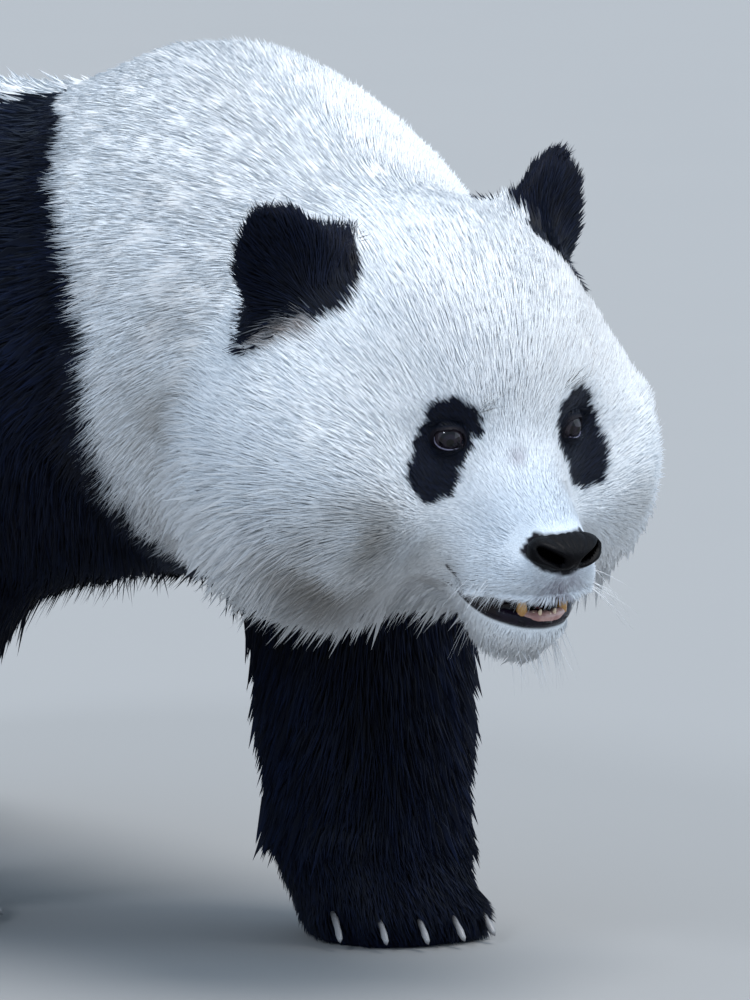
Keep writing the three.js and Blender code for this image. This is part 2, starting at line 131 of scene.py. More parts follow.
def middle(node):
    low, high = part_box(node)
    return (low + high) / 2


# The head's axes, in which all of the face is measured, from the places of the eyes and nose.
EYES_AHEAD = 0.079  # of the middle of the skull, as these are
EYES_ABOVE = 0.015
NOSE_AHEAD = 0.088  # of the eyes
NOSE_BELOW = 0.053


def head_axes():
    left, right, nose = (middle(n) for n in ("eye_left", "eye_right", "nose"))
    across = (left - right).normalized()
    eyes = (left + right) / 2
    out = nose - eyes
    out = (out - across * out.dot(across)).normalized()
    up = out.cross(across)
    angle = math.atan2(NOSE_BELOW, NOSE_AHEAD)
    forward = out * math.cos(angle) + up * math.sin(angle)
    up = forward.cross(across)
    return Axes(eyes - EYES_AHEAD * forward - EYES_ABOVE * up, forward, across)


HEAD = head_axes()
# The place on the floor under the shoulders, from which the trunk's markings are measured.
SHOULDERS = Vector((HEAD.origin.x - 0.344, HEAD.origin.y, 0))


def eye_axes(side):
    """An eye's own axes: forward is the way that it looks."""
    looks = HEAD.turned((0.91, 0.40 * side, 0.03))
    return Axes(middle("eye_left" if side > 0 else "eye_right"), looks, HEAD.turned((0, 1, 0)))


EYES = {name: eye_axes(side) for name, side in SIDES.items()}
EYE_RADIUS = 0.0115

# The middle of each ear's root and the way out of the skull there, in the head's axes.
EAR_ROOTS = {"left": ((-0.045, 0.094, 0.082), 1), "right": ((-0.036, -0.105, 0.073), -1)}
EAR_OUT = (-0.17, 0.75, 0.64)
EAR_DARK = np.array((0.004, -0.010, 0.010))  # from a root to the middle of the dark fur round it
# The mouth: its corners, and the lips' slopes from there, in degrees.
MOUTH = {"ahead": 0.110, "up": -0.087, "upper": 15, "lower": -3}


def lips(ahead):
    """The heights of the upper and lower lips' edges, in the head's axes."""
    run = np.maximum(ahead - MOUTH["ahead"], 0)
    return [MOUTH["up"] + run * math.tan(math.radians(MOUTH[k])) for k in ("upper", "lower")]


def in_mouth(head_points, margin):
    """Where points lie between the lips, or within a margin of that."""
    upper, lower = lips(head_points[:, 0])
    z = head_points[:, 2]
    return (head_points[:, 0] > MOUTH["ahead"] + 0.004) & (z < upper + margin) & (z > lower - margin)


# The dark crease that runs up and back from each corner of the mouth.
LIP_CREASE = ((0.136, 0.0415, -0.0865), (0.1095, 0.0495, -0.070))
BARE_LIP = 0.0065  # how far the bare lower lip reaches below the mouth

NOSE_PLACE = HEAD.local(np.array([middle("nose")]))[0]
NOSE_DEEP = 0.016  # from its middle to its front
PAD_HOLLOW = 0.012  # how far the skin lies back under it, clear of the nostrils
# The pad's edge as seen from ahead: directions in degrees up from straight aside, and millimetres.
PAD_EDGE = ((-90, 13), (-68, 12.8), (-43, 14.8), (-17, 23), (-2, 29), (13, 30), (26, 26.5), (42, 19.0))
PAD_EDGE += ((65, 15.2), (90, 14.2))


def pad_edge(y, z):
    """How far the nose pad reaches from its middle, in the direction of each place."""
    angles, reaches = np.array(PAD_EDGE).T
    return np.interp(np.degrees(np.arctan2(z, np.abs(y))), angles, reaches) / 1000


def over_pad(head_points):
    """How far points lie ahead of the pad's middle, and how far out from it: 1 is its edge."""
    ahead, y, z = (head_points - NOSE_PLACE).T
    return ahead, np.hypot(y, z) / pad_edge(y, z)


# ---------------------------------------------------------------- what a user would change


class PandaCoat(bpy.types.PropertyGroup):
    cell: bpy.props.FloatProperty(
        name="Skin cell", description="Size of the skin's faces", default=0.0056, unit="LENGTH"
    )
    triangles: bpy.props.IntProperty(
        name="Coat triangles", description="In all of the tufts", default=1460000, min=10000
    )
    fullness: bpy.props.FloatProperty(
        name="Fullness", description="Length of the fur over its own", default=1.0, min=0.2, max=1.5
    )
    unruly: bpy.props.FloatProperty(
        name="Unruliness", description="How far tufts stray from the lie", default=0.3, min=0, max=1
    )
    seed: bpy.props.IntProperty(name="Seed", description="Of the tufts' places", default=11)


class PandaFace(bpy.types.PropertyGroup):
    opening: bpy.props.FloatVectorProperty(
        name="Eye opening",
        description="Half the width and half the height between the lids",
        size=2,
        default=(0.0108, 0.0080),
        unit="LENGTH",
    )
    tilt: bpy.props.FloatProperty(
        name="Eye tilt",
        description="How far the eyes' inner corners lie low",
        default=math.radians(18),
        subtype="ANGLE",
    )
    lid: bpy.props.FloatProperty(
        name="Lid", description="Thickness of the eyelids", default=0.0016, unit="LENGTH"
    )
    iris: bpy.props.FloatProperty(
        name="Iris", description="Radius of the iris", default=0.0066, unit="LENGTH"
    )
    pupil: bpy.props.FloatProperty(
        name="Pupil", description="Radius of the pupil", default=0.0028, unit="LENGTH"
    )
    lip: bpy.props.FloatProperty(
        name="Lip", description="Thickness of the lower lip's roll", default=0.0052, unit="LENGTH"
    )


def colour(name, description, default):
    return bpy.props.FloatVectorProperty(
        name=name, description=description, default=default, subtype="COLOR", size=3, min=0, max=1
    )


class PandaColours(bpy.types.PropertyGroup):
    white: colour("White", "The pale fur", (0.90, 0.92, 0.94))
    # Its strong blue is partly a painted reflection of the sky on the dark fur.
    black: colour("Black", "The dark fur", (0.0025, 0.0043, 0.0105))
    # Darkened so that, besides the real stains, it paints the shade under the cheeks.
    tan: colour("Tan", "Stained fur on the cheeks and neck", (0.24, 0.205, 0.165))
    rust: colour("Rust", "Fur below the ears", (0.13, 0.075, 0.045))
    lip: colour("Lips", "Bare dark skin", (0.0060, 0.0045, 0.0085))
    gum: colour("Gums", "Wet skin in the mouth", (0.36, 0.18, 0.16))
    iris: colour("Iris", "The eyes", (0.011, 0.0075, 0.0125))
    horn: colour("Horn", "The claws", (0.27, 0.26, 0.26))
    floor: colour("Floor", "The stage", (0.30, 0.295, 0.29))


class PandaStage(bpy.types.PropertyGroup):
    distance: bpy.props.FloatProperty(
        name="Distance", description="From the camera to its aim", default=7.0, unit="LENGTH"
    )
    azimuth: bpy.props.FloatProperty(
        name="Azimuth",
        description="Of the camera, round the animal from its right side",
        default=math.radians(55),
        subtype="ANGLE",
    )
    elevation: bpy.props.FloatProperty(
        name="Elevation", description="Of the camera", default=math.radians(6), subtype="ANGLE"
    )
    lens: bpy.props.FloatProperty(
        name="Lens", description="Focal length in millimetres", default=357.8
    )
    aim: bpy.props.FloatVectorProperty(
        name="Aim",
        description="Where the camera looks, from the floor under the shoulders",
        default=(0.2673, -0.001, 0.3413),
        unit="LENGTH",
    )
    sky: bpy.props.FloatProperty(name="Sky", description="Strength of the soft light", default=0.86)
    key: bpy.props.FloatProperty(name="Key", description="Strength of the high light", default=2.90)


# ---------------------------------------------------------------- materials


class Socket:
    """A shader socket. Python's operators on it add Math nodes."""

    def __init__(self, shader, out):
        self.shader = shader
        self.out = out

    def maths(self, operation, *values):
        inputs = dict(enumerate(values))
        return self.shader.node("ShaderNodeMath", {"operation": operation}, inputs)

    def __add__(self, other):
        return self.maths("ADD", self, other)

    def __sub__(self, other):
        return self.maths("SUBTRACT", self, other)

    def __rsub__(self, other):
        return self.maths("SUBTRACT", other, self)

    def __mul__(self, other):
        return self.maths("MULTIPLY", self, other)

    __radd__ = __add__
    __rmul__ = __mul__


class Shader:
    """A material's nodes."""

    def __init__(self, name):
        self.material = bpy.data.materials.new(name)
        self.material.use_nodes = True
        self.tree = self.material.node_tree
        self.tree.nodes.clear()

    def node(self, kind, settings=None, inputs=None, output=0):
        made = self.tree.nodes.new(kind)
        for key, value in (settings or {}).items():
            setattr(made, key, value)
        for key, value in (inputs or {}).items():
            if isinstance(value, Socket):
                self.tree.links.new(value.out, made.inputs[key])
            else:
                made.inputs[key].default_value = value
        return Socket(self, made.outputs[output]) if made.outputs else None

    def place(self):
        return self.node("ShaderNodeTexCoord", output="Object")

    def attribute(self, name, output="Fac"):
        return self.node("ShaderNodeAttribute", {"attribute_name": name}, output=output)

    def noise(self, scale, detail=3.0, rough=0.5):
        inputs = {"Vector": self.place(), "Scale": scale, "Detail": detail, "Roughness": rough}
        return self.node("ShaderNodeTexNoise", None, inputs)

    def steps(self, value, low, high):
        """A value's rise from 0 at low to 1 at high."""
        inputs = {"Value": value, "From Min": low, "From Max": high}
        return self.node("ShaderNodeMapRange", {"interpolation_type": "SMOOTHSTEP"}, inputs)

    def mix(self, a, b, factor, blend="MIX"):
        ends = [v if isinstance(v, Socket) else (*v, 1) for v in (a, b)]
        settings = {"data_type": "RGBA", "blend_type": blend}
        return self.node("ShaderNodeMix", settings, {0: factor, 6: ends[0], 7: ends[1]}, 2)

    def bump(self, height, distance, strength=1.0):
        inputs = {"Height": height, "Distance": distance, "Strength": strength}
        return self.node("ShaderNodeBump", None, inputs)

    def finish(self, inputs):
        surface = self.node("ShaderNodeBsdfPrincipled", None, inputs)
        self.node("ShaderNodeOutputMaterial", None, {"Surface": surface})
        return self.material


def rgb(values):
    return (*values, 1.0)


def fur_material(name, gloss, sheen):
    """Fur: each tuft's own colour, with fine streaks, and a soft sheen."""
    s = Shader(name)
    tone = s.attribute("coat", "Color")
    streaks = s.noise(420, 2)
    grey = s.steps(streaks, 0.25, 0.75) * 0.12 + 0.90
    grey = s.node("ShaderNodeCombineColor", None, {0: grey, 1: grey, 2: grey})
    return s.finish(
        {
            "Base Color": s.mix(tone, grey, 1.0, "MULTIPLY"),
            "Roughness": s.noise(60, 2) * 0.2 + 0.5,
            "Specular IOR Level": gloss,
            "Sheen Weight": sheen,
            "Sheen Roughness": 0.4,
            "Sheen Tint": rgb((0.75, 0.83, 1.0)),
        }
    )


def skin_material():
    """The skin: the same markings as the coat, short hair as fine bump, and bare lips and lids."""
    s = Shader("panda_skin")
    tone = s.attribute("coat", "Color")
    bare = s.attribute("bare")
    wet = s.attribute("wet")
    hairs = s.noise(900, 4, 0.7)
    pores = s.node("ShaderNodeTexVoronoi", None, {"Vector": s.place(), "Scale": 700.0})
    grey = s.steps(hairs, 0.3, 0.7) * 0.3 * (1 - bare) + 0.85
    grey = s.node("ShaderNodeCombineColor", None, {0: grey, 1: grey, 2: grey})
    height = hairs * (1 - bare) + pores * bare * 0.5
    return s.finish(
        {
            "Base Color": s.mix(tone, grey, 1.0, "MULTIPLY"),
            "Roughness": 0.75 - bare * 0.25 - wet * 0.3,
            "Specular IOR Level": 0.14,
            "Coat Weight": wet * 0.25,
            "Coat Roughness": 0.15,
            "Normal": s.bump(height, 0.0006, 0.7),
        }
    )


def eye_material(face, colours):
    """The eye, by the distance from the middle of its pupil: pupil, iris with fine rays, and white."""
    s = Shader("panda_eye")
    off = s.attribute("off_axis")
    rays = s.noise(1400, 3, 0.6)
    iris = s.mix(tuple(v * 0.4 for v in colours.iris), tuple(v * 1.6 for v in colours.iris), rays)
    rim = s.steps(off, face.iris * 0.72, face.iris * 0.98)
    iris = s.mix(iris, (0.003, 0.002, 0.003), rim)
    white = s.mix((0.016, 0.012, 0.016), (0.05, 0.038, 0.046), s.noise(500))
    tone = s.mix(iris, white, s.steps(off, face.iris * 1.04, face.iris * 1.2))
    tone = s.mix(tone, (0.002, 0.002, 0.002), 1 - s.steps(off, face.pupil * 0.9, face.pupil * 1.1))
    return s.finish(
        {
            "Base Color": tone,
            "Roughness": s.noise(300) * 0.1 + 0.2,
            "Specular IOR Level": 0.0,
            "Coat Weight": 0.6,
            "Coat Roughness": 0.01,
            "Coat IOR": 1.5,
            "Normal": s.bump(rays, 0.0001, 0.3),
        }
    )


def bare_material(name, tone, second, rough, coat, scale, distance):
    """Bare skin, horn or tooth: two tones, pebbled or veined, dry or wet."""
    s = Shader(name)
    pebbles = s.node("ShaderNodeTexVoronoi", None, {"Vector": s.place(), "Scale": scale})
    clouds = s.noise(scale * 0.2, 4, 0.6)
    height = pebbles + clouds * 0.5
    return s.finish(
        {
            "Base Color": s.mix(tuple(tone), tuple(second), s.steps(clouds, 0.35, 0.65)),
            "Roughness": clouds * 0.15 + rough,
            "Specular IOR Level": 0.07,
            "Coat Weight": coat,
            "Coat Roughness": 0.12,
            "Normal": s.bump(height, distance, 0.6),
        }
    )


def claw_material(colours):
    """Horn: pale, streaked along its length, and darker towards the root."""
    s = Shader("panda_claw")
    along = s.attribute("along")
    stretch = {"Vector": s.place(), "Scale": (140.0, 900.0, 900.0)}
    streaks = s.node("ShaderNodeMapping", None, stretch)
    streaks = s.node("ShaderNodeTexNoise", None, {"Vector": streaks, "Scale": 1.0, "Detail": 3.0})
    dark = tuple(v * 0.22 for v in colours.horn)
    tone = s.mix(dark, tuple(colours.horn), s.steps(along + streaks * 0.3, 0.25, 0.85))
    return s.finish(
        {
            "Base Color": tone,
            "Roughness": streaks * 0.2 + 0.25,
            "Coat Weight": 0.3,
            "Coat Roughness": 0.2,
            "Normal": s.bump(streaks, 0.0003, 0.5),
        }
    )


def tooth_material():
    """Enamel: whitish at the tip, ochre lower down."""
    s = Shader("panda_tooth")
    along = s.attribute("along")
    stain = s.attribute("stain")
    clouds = s.noise(500, 3)
    fresh = s.mix((0.62, 0.42, 0.22), (0.86, 0.80, 0.68), s.steps(along + clouds * 0.4, 0.3, 1.0))
    ochre = s.mix((0.30, 0.10, 0.02), (0.66, 0.36, 0.09), s.steps(along + clouds * 0.4, 0.2, 1.0))
    return s.finish(
        {
            "Base Color": s.mix(fresh, ochre, stain),
            "Roughness": clouds * 0.2 + 0.2,
            "Coat Weight": 0.5,
            "Coat Roughness": 0.1,
            "Normal": s.bump(clouds, 0.0002, 0.4),
        }
    )


# ---------------------------------------------------------------- the skin


class Surface:
    """A mesh's corners and edges as arrays."""

    def __init__(self, mesh):
        self.mesh = mesh
        self.points = read(mesh.vertices, "co", 3)
        self.edges = read(mesh.edges, "vertices", 2, np.int32)
        both = np.concatenate([self.edges, self.edges[:, ::-1]])
        self.start, self.end = both[:, 0], both[:, 1]
        self.degree = np.maximum(np.bincount(self.start, minlength=len(self.points)), 1)

    def averaged(self, values):
        """Each corner's mean of its neighbours' values."""
        count = len(self.points)
        columns = values.reshape(count, -1).T
        sums = [np.bincount(self.start, c[self.end], count) for c in columns]
        return (np.stack(sums, axis=1) / self.degree[:, None]).reshape(values.shape)

    def spread(self, values, rounds):
        """Values blurred over the surface: rounds may differ from corner to corner."""
        rounds = np.broadcast_to(rounds, len(self.points))
        share = np.zeros(values.shape[:1] + (1,) * (values.ndim - 1))
        for turn in range(int(rounds.max())):
            share[:] = (0.5 * np.clip(rounds - turn, 0, 1)).reshape(share.shape)
            values = values + share * (self.averaged(values) - values)
        return values

    def move(self, points):
        self.points = points
        write(self.mesh.vertices, "co", points)
        self.mesh.update()

    def normals(self):
        return read(self.mesh.vertex_normals, "vector", 3)


def read(collection, name, width, kind=np.float64):
    values = np.empty(len(collection) * width, np.float32 if kind is np.float64 else kind)
    collection.foreach_get(name, values)
    return values.astype(kind).reshape(-1, width) if width > 1 else values.astype(kind)


def write(collection, name, values):
    collection.foreach_set(name, np.ascontiguousarray(values, np.float32).ravel())


def set_attribute(mesh, name, values):
    """A number, vector or colour for each corner of the mesh."""
    width = 1 if values.ndim == 1 else values.shape[1]
    kind = {1: "FLOAT", 3: "FLOAT_VECTOR", 4: "FLOAT_COLOR"}[width]
    made = mesh.attributes.new(name, kind, "POINT")
    write(made.data, {1: "value", 3: "vector", 4: "color"}[width], values)


def get_attribute(mesh, name):
    data = mesh.attributes[name].data
    kind = mesh.attributes[name].data_type
    label, width = {"FLOAT": ("value", 1), "FLOAT_VECTOR": ("vector", 3)}.get(kind, ("color", 4))
    return read(data, label, width)


def add_piece(name, mesh, material=None, replaced=()):
    """A finished piece of the model: it rides on the body and stands for the nodes replaced."""
    piece = bpy.data.objects.new(name, mesh)
    bpy.context.scene.collection.objects.link(piece)
    if material:
        mesh.materials.append(material)
    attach(piece, "root")
    if replaced:
        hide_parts(*replaced)
    return piece


def mesh_of(bm, name, smooth=True):
    """The mesh of a finished bmesh, facing out."""
    bmesh.ops.recalc_face_normals(bm, faces=bm.faces)
    mesh = bpy.data.meshes.new(name)
    bm.to_mesh(mesh)
    bm.free()
    mesh.shade_smooth() if smooth else mesh.shade_flat()
    return mesh


def merged_copy(node):
    """A copy of a CAD node, its triangles joined."""
    bm = bmesh.new()
    bm.from_mesh(NODES[node].data)
    bmesh.ops.remove_doubles(bm, verts=bm.verts, dist=1e-5)
    return bm


PIECE_LIMIT = 190000  # triangles
SWELL = 0.0012  # closes the thin gaps between the nodes
PLUG = 0.019  # fills each eye's socket, until the lids are shaped
PLUG_DEPTH = 0.0125


def joined_flesh():
    """All the nodes of flesh as one bmesh of overlapping solids, the sockets filled."""
    whole = bmesh.new()
    for node in (*FLESH, "nose"):
        part = merged_copy(node)
        for vertex in part.verts:
            vertex.co += vertex.normal * SWELL
        shape = bpy.data.meshes.new(node)
        part.to_mesh(shape)
        part.free()
        whole.from_mesh(shape)
        bpy.data.meshes.remove(shape)
    for eye in EYES.values():
        at = Matrix.Translation(Vector(eye.world((-PLUG_DEPTH, 0, 0))))
        bmesh.ops.create_icosphere(whole, subdivisions=3, radius=PLUG, matrix=at)
    return whole


def modified(mesh, kind, settings, chosen=None):
    """What a modifier makes of a mesh, or of its chosen corners. The mesh itself is removed."""
    whole = bpy.data.objects.new("whole", mesh)
    bpy.context.scene.collection.objects.link(whole)
    modifier = whole.modifiers.new(kind, kind)
    if chosen is not None:
        whole.vertex_groups.new(name="chosen").add(chosen.tolist(), 1.0, "REPLACE")
        modifier.vertex_group = "chosen"
    for key, value in settings.items():
        setattr(modifier, key, value)
    depsgraph = bpy.context.evaluated_depsgraph_get()
    made = bpy.data.meshes.new_from_object(whole.evaluated_get(depsgraph))
    bpy.data.objects.remove(whole)
    bpy.data.meshes.remove(mesh)
    return made


def remeshed(bm, cell):
    """A bmesh's outside as one even mesh of four-sided faces."""
    mesh = bpy.data.meshes.new("whole")
    bm.to_mesh(mesh)
    bm.free()
    return modified(mesh, "REMESH", {"mode": "VOXEL", "voxel_size": cell})


def region_shares(points):
    """For each kind of region, 1 at the points whose nearest node belongs to it."""
    corners, faces, owners = [], [], []
    for node in FLESH:
        mesh = NODES[node].data
        first = len(corners)
        corners += [v.co[:] for v in mesh.vertices]
        faces += [[first + i for i in p.vertices] for p in mesh.polygons]
        owners += [node] * len(mesh.polygons)
    tree = BVHTree.FromPolygons(corners, faces)
    nearest = np.array([owners[tree.find_nearest(p)[2]] for p in points])
    return {node: (nearest == node).astype(float) for node in FLESH}


def refine(mesh, inside):
    """Halves the edges that lie inside a region of the mesh."""
    bm = bmesh.new()
    bm.from_mesh(mesh)
    chosen = [e for e in bm.edges if inside[e.verts[0].index] and inside[e.verts[1].index]]
    bmesh.ops.subdivide_edges(bm, edges=chosen, cuts=1, use_grid_fill=True)
    bm.to_mesh(mesh)
    bm.free()
    mesh.update()


def thinned(mesh):
    """The mesh in triangles, with enough of them merged behind the eyes to keep to the limit."""
    bm = bmesh.new()
    bm.from_mesh(mesh)
    bmesh.ops.triangulate(bm, faces=bm.faces)
    bmesh.ops.recalc_face_normals(bm, faces=bm.faces)
    bm.to_mesh(mesh)
    bm.free()
    ahead = HEAD.local(read(mesh.vertices, "co", 3))[:, 0]
    ratio = min(PIECE_LIMIT / len(mesh.polygons), 1.0)
    return modified(mesh, "DECIMATE", {"ratio": ratio}, np.nonzero(ahead < 0.0)[0])


def ear_share(head_points):
    """1 on the ears, and 0 below their roots."""
    share = np.zeros(len(head_points))
    for root, side in EAR_ROOTS.values():
        out = unit(np.array(EAR_OUT) * (1, side, 1))
        off = head_points - np.array(root) - EAR_DARK * (1, side, 1)
        close = 1 - ramp(0.028, 0.036, np.linalg.norm(off, axis=1))
        share = np.maximum(share, ramp(-0.022, -0.014, off @ out) * close)
    return share


# How the fur lies on each region: its length, how deep the skin lies below the tips, how steeply
# it stands in degrees, its tufts' width, the space between them, rounds of smoothing, and how far
# its tufts stray.
LIES = {
    "head": (0.0160, 0.0062, 20, 0.00080, 0.00145, 8, 0.55),
    "jaw": (0.014, 0.0050, 30, 0.0008, 0.0014, 4, 1.2),
    "ear": (0.0240, 0.0010, 48, 0.0007, 0.0013, 1, 1.0),
    "neck": (0.0185, 0.0075, 26, 0.00075, 0.00145, 20, 0.6),
    "chest": (0.032, 0.0115, 24, 0.0013, 0.0026, 30, 0.9),
    "belly": (0.034, 0.0135, 24, 0.0021, 0.0041, 40, 0.9),
    "rump": (0.034, 0.0135, 25, 0.0021, 0.0041, 40, 0.9),
    "tail": (0.034, 0.0125, 28, 0.0026, 0.0046, 10, 1.0),
    "foreleg": (0.034, 0.0115, 26, 0.0012, 0.0025, 16, 0.9),
    "hindleg": (0.034, 0.0120, 24, 0.0021, 0.0040, 20, 0.9),
    "forepaw": (0.018, 0.0060, 26, 0.0011, 0.0020, 6, 1.0),
    "hindpaw": (0.018, 0.0060, 26, 0.0018, 0.0033, 6, 1.0),
}
# The same, on the muzzle and round the eyes.
FACE_FUR = (0.0080, 0.0031, 15, 0.0007, 0.0011, 5, 0.8)
# The first four and the last, on the cheeks and throat, under the chin, and along the pale side of
# the black band's front edge.
HANGING = (0.031, 0.0115, 41, 0.00065, 1.5)
BEARD = (0.019, 0.0050, 42, 0.0007, 1.5)
SHAWL = (0.0205, 0.0095, 30, 0.00055, 1.3)
SOLE = 0.012  # below this the paws bear on the floor, with no fur under them
MUZZLE = (0.126, 0.0, -0.055)
MUZZLE_FUR = (0.055, 0.150)  # from the muzzle's middle, where its short fur fades out
EYE_FUR = (0.018, 0.062)  # and from an eye


def lie_of(surface, shares):
    """How the fur lies at each corner of the skin: the columns of LIES, evened out."""
    table = np.zeros((len(surface.points), 7))
    for node, share in shares.items():
        kind = next(k for k in LIES if node.startswith(k))
        table += share[:, None] * np.array(LIES[kind])
    table = surface.spread(table, 14)
    ears = surface.spread(shares["ear_left"] + shares["ear_right"], 2)
    table = between(table, np.array(LIES["ear"]), np.clip(ears, 0, 1)[:, None])
    h = HEAD.local(surface.points)
    on_head = np.clip(surface.spread(shares["head"] + shares["jaw"], 10), 0, 1)
    short = 1 - ramp(*MUZZLE_FUR, np.linalg.norm(h - np.array(MUZZLE), axis=1))
    for eye in EYES.values():
        away = np.linalg.norm(surface.points - np.array(eye.origin), axis=1)
        short = np.maximum(short, 1 - ramp(*EYE_FUR, away))
    short *= on_head
    table = between(table, np.array(FACE_FUR), short[:, None])
    # The cheeks and the throat hang long.
    aside = np.abs(h[:, 1])
    cheek = on_head * ramp(0.055, 0.125, aside) * ramp(0.06, -0.09, h[:, 2]) * (1 - short)
    cheek *= ramp(0.105, 0.04, h[:, 0])
    under = on_head * ramp(-0.075, -0.115, h[:, 2]) * ramp(0.125, 0.06, h[:, 0])
    chin = on_head * ramp(-0.104, -0.120, h[:, 2]) * ramp(0.09, 0.11, h[:, 0])
    body = surface.points - np.array(SHOULDERS)
    past = body[:, 0] - band_front(body[:, 2])
    pale = (1 - on_head) * ramp(-0.01, 0.03, past) * ramp(0.25, 0.30, body[:, 2])
    table = between(table, np.array(LIES["neck"]), pale[:, None])
    shawl = (1 - on_head) * ramp(-0.02, 0.0, past) * ramp(0.05, 0.02, past)
    shawl = shawl * ramp(0.25, 0.3, body[:, 2]) * ramp(0.64, 0.58, body[:, 2])
    long = np.clip(np.maximum(cheek, under), 0, 1)
    columns = [0, 1, 2, 3, 6]
    for kind, share in ((SHAWL, shawl), (BEARD, chin), (HANGING, long)):
        table[:, columns] = between(table[:, columns], np.array(kind), share[:, None])
    # It is trimmed round the nose pad.
    ahead, pad = over_pad(h)
    trim = ramp(1.6, 1.05, pad) * (ahead > -0.020)
    table[:, 0] *= 1 - 0.55 * trim
    table[:, 2] *= 1 - 0.6 * trim
    return table


def lie_directions(surface, shares):
    """Which way the fur lies at each corner of the skin, as unit vectors along it."""
    points, normals = surface.points, surface.normals()
    h = HEAD.local(points)
    body = points - np.array(SHOULDERS)
    away = unit(h - np.array((0.178, 0.0, -0.046)))
    drop = ramp(0.0, -0.10, h[:, 2]) * ramp(0.15, 0.05, h[:, 0])
    away[:, 2] -= 0.9 * drop
    ways = {"head": HEAD.turned(unit(away)), "jaw": HEAD.turned(unit(away - (0, 0, 1.3)))}
    side = np.sign(body[:, 1])
    low = ramp(0.55, 0.25, body[:, 2])
    back = np.stack([-np.ones(len(points)), 0.12 * side, -0.35 - 0.8 * low], axis=1)
    for kind in ("neck", "chest", "belly", "rump", "tail"):
        ways[kind] = unit(back)
    ways["tail"] = unit(back + (0.2, 0, -1.2))
    ways["foreleg"] = ways["hindleg"] = unit(np.array([[-0.18, 0.0, -1.0]]) + 0 * points)
    ways["forepaw"] = ways["hindpaw"] = unit(np.array([[0.55, 0.0, -0.75]]) + 0 * points)
    field = np.zeros_like(points)
    for node, share in shares.items():
        kind = next(k for k in LIES if node.startswith(k))
        if kind == "ear":
            root, turn = EAR_ROOTS[node.split("_")[1]]
            low_root = np.array(root) - 0.02 * np.array(EAR_OUT) * (1, turn, 1)
            field += share[:, None] * HEAD.turned(unit(h - low_root))
        else:
            field += share[:, None] * ways[kind]
    field -= normals * (field * normals).sum(axis=1, keepdims=True)
    field = surface.spread(unit(field), 8)
    field -= normals * (field * normals).sum(axis=1, keepdims=True)
    return unit(field)


# ---------------------------------------------------------------- markings, with some painted shade

# The eye patches: a soft oval in the head's Y and Z, from above the eye to the cheek.
PATCH = {"top": (0.0510, 0.026), "low": (0.0670, -0.0095), "wide": (0.0190, 0.0180), "from": 0.045}
# The black band over the shoulders, from the floor under them: how far ahead its front edge is at
# some heights, and its rear edge, which leans back on the side whose leg is set back.
BAND_FRONT = ((0.28, 0.142), (0.446, 0.153), (0.495, 0.134), (0.529, 0.106), (0.561, 0.066))
BAND_FRONT += ((0.591, 0.040), (0.604, 0.0), (0.616, -0.060))
BAND = {"rear": -0.155, "lean": 0.075, "under": 0.11}
SPINE = (0.588, 0.606, 0.083)  # heights between which the band narrows to the back, and by how much
# Tan stains: the middle of each in the head's axes, its radius, and its strength. The right cheek's and
# jowl's are stronger than the left's, and with the dark tan they also paint the shade under the cheek.
TAN_STAINS_AND_SHADE = (
    ((-0.110, -0.154, -0.050), 0.075, 0.55),
    ((-0.126, -0.148, 0.011), 0.060, 0.30),
    # These two also paint the shade under the right cheek and jowl.
    ((0.080, -0.112, -0.050), 0.052, 1.0),
    ((0.060, -0.120, -0.085), 0.070, 0.85),
    ((0.080, 0.112, -0.050), 0.045, 0.6),
    ((-0.110, 0.154, -0.060), 0.075, 0.4),
    ((0.090, -0.050, -0.095), 0.030, 0.55),
    ((0.090, 0.050, -0.095), 0.030, 0.55),
    ((0.104, -0.062, -0.070), 0.032, 0.8),
    ((0.104, 0.062, -0.070), 0.032, 0.8),
)
GREY_TONE = (0.24, 0.21, 0.26)
MUZZLE_GREY = (0.168, 0.0, -0.064)  # the middle of the grey fur between the nose and the mouth
BRIDGE_SPOT = (0.106, -0.008, 0.008)  # a small grey spot between the eyes
# The muzzle's top: partly grey from the dark skin under thin fur, partly a painted blue shade of the
# sky's light.
SPARSE_FUR_SKY_SHADE_TONE = (0.50, 0.60, 0.71)
SPARSE_FUR_SKY_SHADE_AT = (0.138, 0.0, -0.030)  # on the bridge of the nose, greyed where the dark skin shows through and tinted blue as painted sky-lit shade
RUST = ((-0.037, 0.134, 0.045), (-0.018, 0.120, 0.063))  # the ends of the streak below each ear


def patch_share(h):
    """1 on the eye patches."""
    across = np.stack([np.abs(h[:, 1]), h[:, 2]], axis=1)
    top, low = np.array(PATCH["top"]), np.array(PATCH["low"])
    run = low - top
    t = np.clip((across - top) @ run / (run @ run), 0, 1)
    wide = between(*PATCH["wide"], t)
    off = np.linalg.norm(across - top - t[:, None] * run, axis=1) - wide
    return ramp(0.0022, -0.0022, off) * (h[:, 0] > PATCH["from"])


def band_front(height):
    return np.interp(height, *np.array(BAND_FRONT).T)


def band_share(body):
    """1 on the black band over the shoulders and under the chest."""
    x, y, z = body.T
    front = band_front(z)
    down = ramp(0.60, 0.28, z)
    rear = BAND["rear"] + down * BAND["lean"] * np.clip(y / 0.15, -1, 0.3)
    rear = rear - BAND["under"] * ramp(0.40, 0.30, z) + SPINE[2] * ramp(SPINE[0], SPINE[1], z)
    return ramp(front + 0.014, front - 0.014, x) * ramp(rear - 0.006, rear + 0.006, x)


